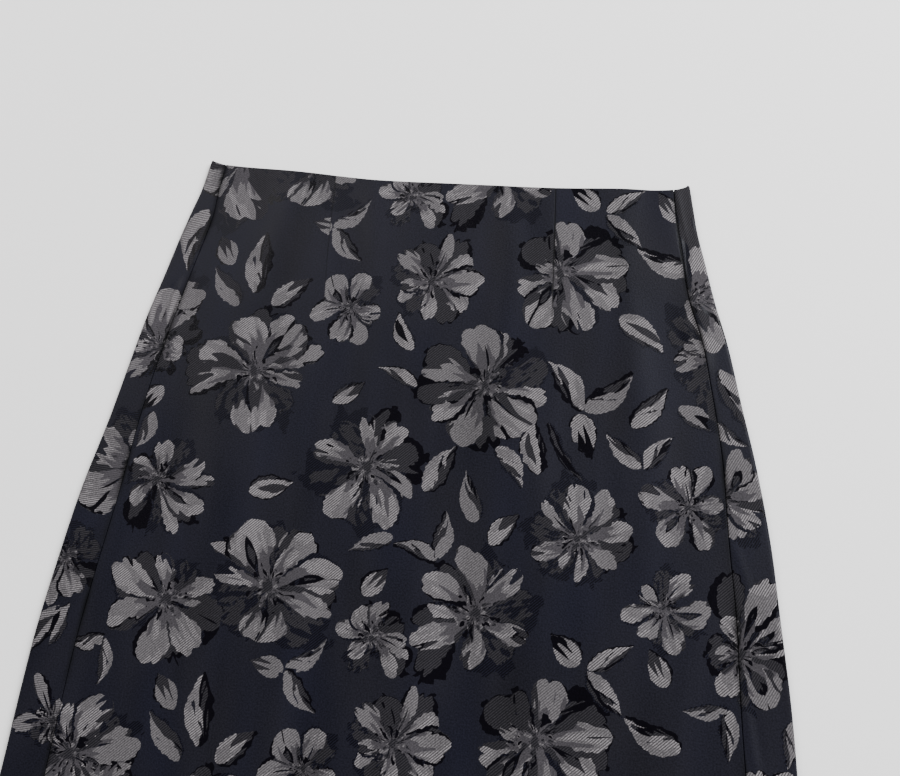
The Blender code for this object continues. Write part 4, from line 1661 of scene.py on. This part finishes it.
def middle_group():
    """A flower's middle: a grey star with short black strokes round a dark eye.

    Behind is the weave of the dark cloth that shows between the petals there."""
    (x, y, _), (seed, _, _), leave = motif_group("woven_middle", "Tone", "Behind")
    seed = whole(seed + 0.5)
    soft = cloud(x + seed * 7.0, y, 6.0)
    fine = cloud(x + seed * 3.0, y + 3.0, 15.0)
    radius = compute(x.tree, "SQRT", x * x + y * y)
    around = compute(x.tree, "ARCTAN2", y, x) + 0.3 * soft
    ring_x, ring_y = cosine(around), sine(around)
    rays = cloud(ring_x * 2.6 + seed * 5.0, ring_y * 2.6 + radius * 1.5, detail=1.0)
    slim = cloud(ring_x * 4.2 + seed * 9.0, ring_y * 4.2 + radius * 2.0)
    patches = cloud(x + seed * 2.0, y, 11.0) + 0.5 * fine
    star = 0.20 + 0.42 * rays + 0.05 * fine - radius > 0.0
    tone = pick(star, MIDDLE, GROUND)
    tone = pick(star & (patches > 0.24), PLAIN, tone)
    tone = pick(star & (patches + 0.6 * slim < -0.16), DARK, tone)
    stroke = (slim + 0.5 * patches > 0.26 + 1.2 * abs(radius - 0.20)) & (radius < 0.40)
    tone = pick(stroke, FLOATS, tone)
    eye = 0.05 + 0.14 * soft + 0.06 * fine - radius > 0.0
    tone = pick(eye, DARK, tone)
    reach = 0.46 + 0.60 * rays + 0.10 * soft - radius
    near = pick(slim + 0.6 * patches > 0.05, DARK, FLOATS)
    behind = pick(reach > 0.10 + 0.3 * slim, near, HATCH) * (reach > 0.0)
    feed(tone.tree, leave, Tone=tone, Behind=behind)
    return tone.tree


def leaf_group():
    """A pointed leaf; its Shape holds its kind and seed, and Tone is the weave."""
    (along, beside, _), (kind, seed, _), leave = motif_group("woven_leaf", "Tone")
    kind, seed = whole(kind + 0.5), whole(seed + 0.5)
    is_flipped = seed > TURNED_OVER - 0.5
    seed = seed - is_flipped * TURNED_OVER
    chance = chances(seed + 3.0, seed, 18)
    is_bud, is_split, is_shade = (abs(kind - number) < 0.5 for number in (BUD, SPLIT, SHADE))
    is_fork = kind > FORK - 0.5
    beside = beside * pick(chance[0] > 0.5, 1.0, -1.0) * (1.0 - 2.0 * is_flipped)
    run = held(along)
    within = (along > 0.0) & (along < 1.0)
    beside = beside - (0.03 + 0.11 * chance[1]) * sine(run * math.pi) * (1.0 - is_bud)
    soft, rough = soft_and_rough(along, beside, seed, 6.0, 14.0)
    strokes = frayed(along, beside, seed, lean=0.0, slim=15.0, short=2.2)
    width = 0.125 + 0.05 * chance[2] + 0.13 * is_bud + 0.04 * is_split + 0.05 * is_fork
    width = width * (1.0 - 0.84 * is_shade)
    profile = sine(run ** (0.60 + 0.30 * chance[3]) * math.pi) ** (0.75 + 0.45 * run)
    half = width * profile + 0.030 * rough
    # the dark companion on one side, part dark twill and part black lines
    low = (0.05 + 0.10 * chance[4]) * sine(held(run * 1.03) ** 0.8 * math.pi) + 0.03 * soft
    lower = within & (beside < 0.0)
    rim = half * 0.8 + low + (0.020 + 0.030 * chance[5]) + 0.03 * soft
    tone = pick(lower & (-beside < rim), pick(chance[5] > 0.55, FLOATS, HATCH), GROUND)
    shade = pick(strokes + 0.5 * chance[8] > 0.38, FLOATS, DARK)
    tone = pick(lower & (-beside < half * 0.8 + low), shade, tone)
    upper = within & (beside > 0.0) & (beside < half + 0.025)
    tone = pick(upper & (chance[6] > 0.7), FLOATS, tone)
    # the light blade, cut into fingers that point to its tip
    comb = run * (1.1 + 2.0 * chance[7]) - 3.2 * beside + chance[9] + 0.35 * strokes
    cut = part_of(comb) * 1.5 * held((run - 0.18) * 3.0) * (1.0 - is_split - is_fork)
    bound = half * (cut * (1.0 - is_bud) - 1.0)
    blade = within & (beside < half + 0.02 * soft) & (beside > bound)
    bright = pick(chance[10] > 0.25, LIGHT, PLAIN)
    patch = cloud(along * 2.4 + seed * 3.0, beside * 5.0) + 0.35 * strokes > 0.14
    bright = pick(patch, PLAIN, bright)
    # a slit, or a fork that opens to the tip
    slit_from = 0.12 + 0.12 * chance[12]
    slit_run = held((run - slit_from) / (0.62 + 0.16 * chance[13]))
    slit_half = (0.34 + 0.16 * chance[11]) * width * sine(slit_run ** 1.2 * math.pi)
    slit_half = slit_half + 0.04 * strokes
    aside = abs(beside - 0.14 * (run - 0.45))
    slit = (aside < slit_half) & (slit_run > 0.0) & (slit_run < 1.0)
    slit_tone = pick(chance[14] > 0.65, FLOATS, DARK)
    bright = pick(slit & is_split, slit_tone, bright)
    fork = (aside < 0.34 * (run - 0.30 - 0.10 * chance[15]) + 0.05 * strokes) & is_fork
    bright = pick(fork, slit_tone, bright)
    # the gaps between the three prongs of a bud
    opened = 0.17 * (run - 0.22 - 0.16 * chance[15]) + 0.05 * strokes
    first_gap = abs(beside - 0.36 * width + 0.05 * chance[12]) < opened
    second_gap = abs(beside + 0.40 * width - 0.05 * chance[13]) < opened
    gap_tone = pick(chance[17] > 0.5, FLOATS, DARK)
    bright = pick((first_gap | second_gap) & is_bud, gap_tone, bright)
    tone = pick(blade, pick(is_shade, FLOATS, bright), tone)
    feed(tone.tree, leave, Tone=tone)
    return tone.tree


def twill_group():
    """Diagonal lines of a twill, and a fine mottle of the yarn."""
    tree, inputs, leave = new_group(
        "twill_lines", {"Cloth": "Vector", "Pitch": "Float", "Angle": "Float"},
        ("Lines", "Mottle", "Bands"))
    x, y, _ = split(tree, inputs["Cloth"])
    angle = Number(tree, inputs["Angle"])
    step = (y * cosine(angle) - x * sine(angle)) / Number(tree, inputs["Pitch"])
    wobble = cloud(x, y, WOBBLE_SCALE, detail=1.0)
    wave = sine((step + 0.10 * wobble) * 2.0 * math.pi) * 0.5 + 0.5
    mottle = cloud(x, y, MOTTLE_SCALE, detail=2.0) + 0.5
    bands = cloud(x, y * 0.22, BAND_SCALE, detail=2.0) + 0.5
    feed(tree, leave, Lines=eased(wave * 1.15 - 0.05), Mottle=mottle, Bands=bands)
    return tree


# ---- materials
def new_material(name):
    material = bpy.data.materials.new(name)
    material.use_nodes = True
    tree = material.node_tree
    return material, tree, tree.nodes["Principled BSDF"]


def add_group(tree, name, build, **values):
    """Add a node group, which is built once and used in each material."""
    node = tree.nodes.new("ShaderNodeGroup")
    node.node_tree = bpy.data.node_groups.get(name) or build()
    feed(tree, node, **values)
    return node


def attribute(tree, name):
    node = tree.nodes.new("ShaderNodeAttribute")
    node.attribute_type = "GEOMETRY"
    node.attribute_name = name
    return node.outputs["Vector"]


def tone_ramp(tree, tone, colours):
    """Read one value for each tone of the figure."""
    node = tree.nodes.new("ShaderNodeValToRGB")
    node.color_ramp.interpolation = "CONSTANT"
    elements = node.color_ramp.elements
    while len(elements) < len(colours):
        elements.new(1.0)
    for index, (element, colour) in enumerate(zip(elements, colours)):
        element.position = index * TONE_STEP
        element.color = (*colour, 1.0)
    join(tree, (tone + 0.5) * TONE_STEP, node.inputs["Fac"])
    return node.outputs["Color"]


def opaque(colour, bright=1.0):
    """A colour with full alpha, made brighter or darker."""
    return (*(min(bright * channel, 1.0) for channel in colour), 1.0)


def mix(tree, data_type, first_input, factor, first, second):
    """A mix node of one data type; its two inputs start at the index first_input."""
    node = tree.nodes.new("ShaderNodeMix")
    node.data_type = data_type
    join(tree, factor, node.inputs[0])
    join(tree, first, node.inputs[first_input])
    join(tree, second, node.inputs[first_input + 1])
    return node


def mix_colours(tree, factor, first, second, blend_type="MIX"):
    node = mix(tree, "RGBA", 6, factor, first, second)
    node.blend_type = blend_type
    return node.outputs[2]


def mix_normals(tree, factor, first, second):
    node = mix(tree, "VECTOR", 4, factor, first, second)
    even = tree.nodes.new("ShaderNodeVectorMath")
    even.operation = "NORMALIZE"
    tree.links.new(node.outputs[1], even.inputs[0])
    return even.outputs[0]


def bump(tree, height, strength, distance):
    node = tree.nodes.new("ShaderNodeBump")
    feed(tree, node, Strength=strength, Distance=distance, Height=height)
    return node.outputs["Normal"]


def figure_tones(tree, motif, name, build):
    """The outputs of one layer of the figure, fed with its motif's place."""
    node = add_group(
        tree, name, build, At=attribute(tree, motif + "_at"),
        Shape=attribute(tree, motif + "_kind"))
    return [Number(tree, output) for output in node.outputs]


def figure_tone(tree):
    """Tone of the whole figure: middles, then light petals, then all that is dark."""
    dark = figure_tones(tree, "dark_petal", "woven_dark_petal", dark_petal_group)[0]
    middle, behind = figure_tones(tree, "middle", "woven_middle", middle_group)
    leaf = figure_tones(tree, "leaf", "woven_leaf", leaf_group)[0]
    over, shadow = figure_tones(tree, "petal", "woven_petal", petal_group)
    under, _ = figure_tones(tree, "next_petal", "woven_petal", petal_group)
    parted = shadow & (under > MIDDLE + 0.5)
    petals = pick(over > 0.5, over, pick(parted, FLOATS, under))
    return pick(middle > 0.5, middle, greater(petals, greater(greater(dark, behind), leaf)))


def twill_parts(tree, pitch, angle):
    """Lines, mottle and bands of a twill."""
    twill = add_group(
        tree, "twill_lines", twill_group, Cloth=attribute(tree, "cloth_at"), Pitch=pitch,
        Angle=angle)
    return [Number(tree, output) for output in twill.outputs]


def jacquard_material(settings):
    colours = settings.skirt_colours
    cloth = settings.skirt_cloth
    material, tree, shader = new_material("jacquard")
    lines, mottle, bands = twill_parts(tree, cloth.twill_pitch, cloth.twill_angle)
    tone = figure_tone(tree)
    gaps = tone_ramp(tree, tone, (
        colours.ground, colours.floats, colours.ground, colours.dark_gap,
        colours.middle, colours.plain_gap, colours.light_gap))
    tops = tone_ramp(tree, tone, (
        colours.ground, colours.floats, colours.floats, colours.dark_line,
        colours.middle, colours.plain_line, colours.light_line))
    colour = mix_colours(tree, lines, gaps, tops)
    x, y, _ = split(tree, attribute(tree, "cloth_at"))
    # a lighter, greyer ground mixed in by slow patches: painted sheen on the satin
    drift = held(cloud(x * 24.0, y * 9.0, detail=1.0) * 0.9 + 0.45)
    satin = mix_colours(tree, drift, opaque(colours.ground), opaque(colours.painted_sheen_ground))
    colour = mix_colours(tree, tone < 0.5, colour, satin)
    # painted shade along the darts' stitched lines and beside the side seams, where shade falls in
    # their grooves
    painted_seam_shade = held(split(tree, attribute(tree, "painted_seam_shade"))[0])
    shade = tree.nodes.new("ShaderNodeCombineColor")
    # the yarn's own mottle, slow bands of painted sheen, and the painted shade along darts and seams,
    # multiplied into the colour
    wear_and_painted_light = (0.35 + 0.85 * mottle + 0.45 * bands) * (1.0 - SEAM_SHADE_DARKER * painted_seam_shade)
    feed(tree, shade, Red=wear_and_painted_light, Green=wear_and_painted_light, Blue=wear_and_painted_light)
    colour = mix_colours(tree, 1.0, colour, shade.outputs[0], "MULTIPLY")
    gloss = tone_ramp(tree, tone, [(rough,) * 3 for rough in TONE_ROUGHNESS])
    rough = split(tree, gloss, "Color")[0] + 0.10 * (mottle - 0.5) + 0.08 * (bands - 0.5)
    smooth_weave = bump(tree, mottle, strength=0.25, distance=0.0002)
    ridged_weave = bump(tree, lines, strength=0.55, distance=0.0003)
    feed(
        tree, shader, Base_Color=colour, Roughness=pick(painted_seam_shade, SEAM_SHADE_ROUGHNESS, rough),
        Normal=mix_normals(tree, tone > DARK - 0.5, smooth_weave, ridged_weave),
        Specular_IOR_Level=CLOTH_SPECULAR)
    return material


def wrong_side_material(settings):
    cloth = settings.skirt_cloth
    material, tree, shader = new_material("jacquard_wrong_side")
    lines, mottle, _ = twill_parts(tree, cloth.twill_pitch * 0.6, -cloth.twill_angle)
    base = settings.skirt_colours.wrong_side
    share = held(0.25 * lines + 0.6 * mottle)
    feed(
        tree, shader, Base_Color=mix_colours(tree, share, opaque(base), opaque(base, 1.9)),
        Roughness=0.70 + 0.2 * mottle,
        Normal=bump(tree, lines + mottle, strength=0.35, distance=0.0002))
    return material


def cloth_materials(settings):
    """The right and the wrong side of the cloth, made once for both panels."""
    if "jacquard" not in bpy.data.materials:
        return jacquard_material(settings), wrong_side_material(settings)
    return bpy.data.materials["jacquard"], bpy.data.materials["jacquard_wrong_side"]


def tape_material(settings):
    material, tree, shader = new_material("zip_tape_weave")
    lines, mottle, _ = twill_parts(tree, TAPE_PITCH, math.radians(75.0))
    base = settings.skirt_zip.tape_colour
    share = held(0.4 * lines + 0.4 * mottle)
    feed(
        tree, shader, Base_Color=mix_colours(tree, share, opaque(base), opaque(base, 1.8)),
        Roughness=0.72 + 0.15 * mottle,
        Normal=bump(tree, lines, strength=0.4, distance=0.0001))
    return material


def grained_material(name, base, rough, metallic, scale):
    """A hard surface with a fine grain and slight wear."""
    material, tree, shader = new_material(name)
    where = tree.nodes.new("ShaderNodeTexCoord")
    grain = tree.nodes.new("ShaderNodeTexNoise")
    feed(tree, grain, Scale=scale, Detail=4.0, Vector=where.outputs["Object"])
    wear = Number(tree, grain.outputs["Fac"])
    # lighter spots where the surface is worn
    wear_and_painted_light = held((wear - 0.45) * 3.0)
    feed(
        tree, shader, Base_Color=mix_colours(tree, wear_and_painted_light, opaque(base), opaque(base, 2.2)),
        Roughness=rough + 0.25 * (wear - 0.5), Metallic=metallic,
        Normal=bump(tree, wear, strength=0.2, distance=0.0001))
    return material


def coil_material(settings):
    return grained_material(
        "zip_coil_nylon", settings.skirt_zip.coil_colour, rough=0.42, metallic=0.0, scale=900.0)


def slider_material(settings):
    return grained_material(
        "slider_metal_black", settings.skirt_zip.metal_colour, rough=0.38, metallic=1.0, scale=500.0)


def floor_material(settings):
    material, tree, shader = new_material("pale_floor")
    where = tree.nodes.new("ShaderNodeTexCoord")
    x, y, _ = split(tree, where.outputs["Object"])
    drift = cloud(x, y, 0.8, detail=1.0)
    base = settings.skirt_stage.floor_colour
    colour = mix_colours(tree, held(drift + 0.5), opaque(base), opaque(base, 0.97))
    feed(
        tree, shader, Base_Color=colour, Roughness=0.62 + 0.05 * drift,
        Specular_IOR_Level=0.2)
    return material


# ---- stage
def soft_light(name, power, light_at, colour):
    """A large square light that faces the middle of the skirt."""
    lamp = bpy.data.lights.new(name, "AREA")
    lamp.shape = "SQUARE"
    lamp.size = LIGHT_SIZE
    lamp.energy = power
    lamp.color = colour
    light = add_object(name, lamp)
    light.location = light_at
    light.rotation_euler = Vector(light_at).to_track_quat("Z", "Y").to_euler()


def make_stage(settings):
    stage = settings.skirt_stage
    half = stage.floor_size / 2.0
    corners = ((-half, -half), (half, -half), (half, half), (-half, half))
    points = [(x, y, -FLOOR_GAP) for x, y in corners]
    floor = add_mesh("floor", points, [(0, 1, 2, 3)], [floor_material(settings)])

    world = bpy.data.worlds.new("soft_room")
    world.use_nodes = True
    background = world.node_tree.nodes["Background"]
    background.inputs["Color"].default_value = (*COOL_WHITE, 1.0)
    background.inputs["Strength"].default_value = stage.room_strength
    bpy.context.scene.world = world

    soft_light("soft_window", stage.key_power, KEY_PLACE, COOL_WHITE)
    soft_light("soft_fill", stage.fill_power, FILL_PLACE, WARM_WHITE)

    lens = bpy.data.cameras.new("view_camera")
    lens.lens = stage.lens
    lens.sensor_width = 36.0
    lens.sensor_fit = "HORIZONTAL"
    lens.clip_start = 0.01
    camera = add_object("view_camera", lens)
    camera.location = stage.camera_place
    camera.rotation_euler = stage.camera_turn
    bpy.context.scene.camera = camera


# ---- operators and panel
class SKIRT_OT_front_cloth(bpy.types.Operator):
    """Make the front panel's cloth"""

    bl_idname = "skirt.front_cloth"
    bl_label = "Front panel"

    def execute(self, context):
        make_front_cloth(context.scene)
        return {"FINISHED"}


class SKIRT_OT_back_cloth(bpy.types.Operator):
    """Make the back panel's cloth, which turns up round both side folds"""

    bl_idname = "skirt.back_cloth"
    bl_label = "Back panel"

    def execute(self, context):
        make_back_cloth(context.scene)
        return {"FINISHED"}


class SKIRT_OT_zip(bpy.types.Operator):
    """Make the concealed zip: its tape and coil, and the slider's finish"""

    bl_idname = "skirt.zip"
    bl_label = "Concealed zip"

    def execute(self, context):
        make_zip_tape(context.scene)
        make_zip_coil(context.scene)
        dress_slider(context.scene)
        return {"FINISHED"}


class SKIRT_OT_stage(bpy.types.Operator):
    """Make the floor, the lights and the camera"""

    bl_idname = "skirt.stage"
    bl_label = "Stage"

    def execute(self, context):
        make_stage(context.scene)
        return {"FINISHED"}


class SKIRT_PT_panel(bpy.types.Panel):
    """Lists the steps that build the skirt, with their settings"""

    bl_idname = "SKIRT_PT_panel"
    bl_label = "A-line skirt"
    bl_space_type = "VIEW_3D"
    bl_region_type = "UI"
    bl_category = "Skirt"

    def draw(self, context):
        for operator in OPERATORS:
            self.layout.operator(operator.bl_idname)
        for name in SETTINGS:
            box = self.layout.box()
            group = getattr(context.scene, name)
            for key in group.__annotations__:
                box.prop(group, key)


OPERATORS = (
    SKIRT_OT_front_cloth,
    SKIRT_OT_back_cloth,
    SKIRT_OT_zip,
    SKIRT_OT_stage,
)
SETTINGS = {
    "skirt_cloth": SkirtClothSettings,
    "skirt_colours": SkirtColourSettings,
    "skirt_zip": SkirtZipSettings,
    "skirt_stage": SkirtStageSettings,
}


def register():
    for cls in (*SETTINGS.values(), *OPERATORS, SKIRT_PT_panel):
        bpy.utils.register_class(cls)
    for name, cls in SETTINGS.items():
        setattr(bpy.types.Scene, name, bpy.props.PointerProperty(type=cls))


def unregister():
    for name in SETTINGS:
        delattr(bpy.types.Scene, name)
    for cls in reversed((*SETTINGS.values(), *OPERATORS, SKIRT_PT_panel)):
        bpy.utils.unregister_class(cls)


def main():
    register()
    bpy.ops.skirt.stage()
    bpy.ops.skirt.front_cloth()
    bpy.ops.skirt.back_cloth()
    bpy.ops.skirt.zip()


if __name__ == "__main__":
    main()
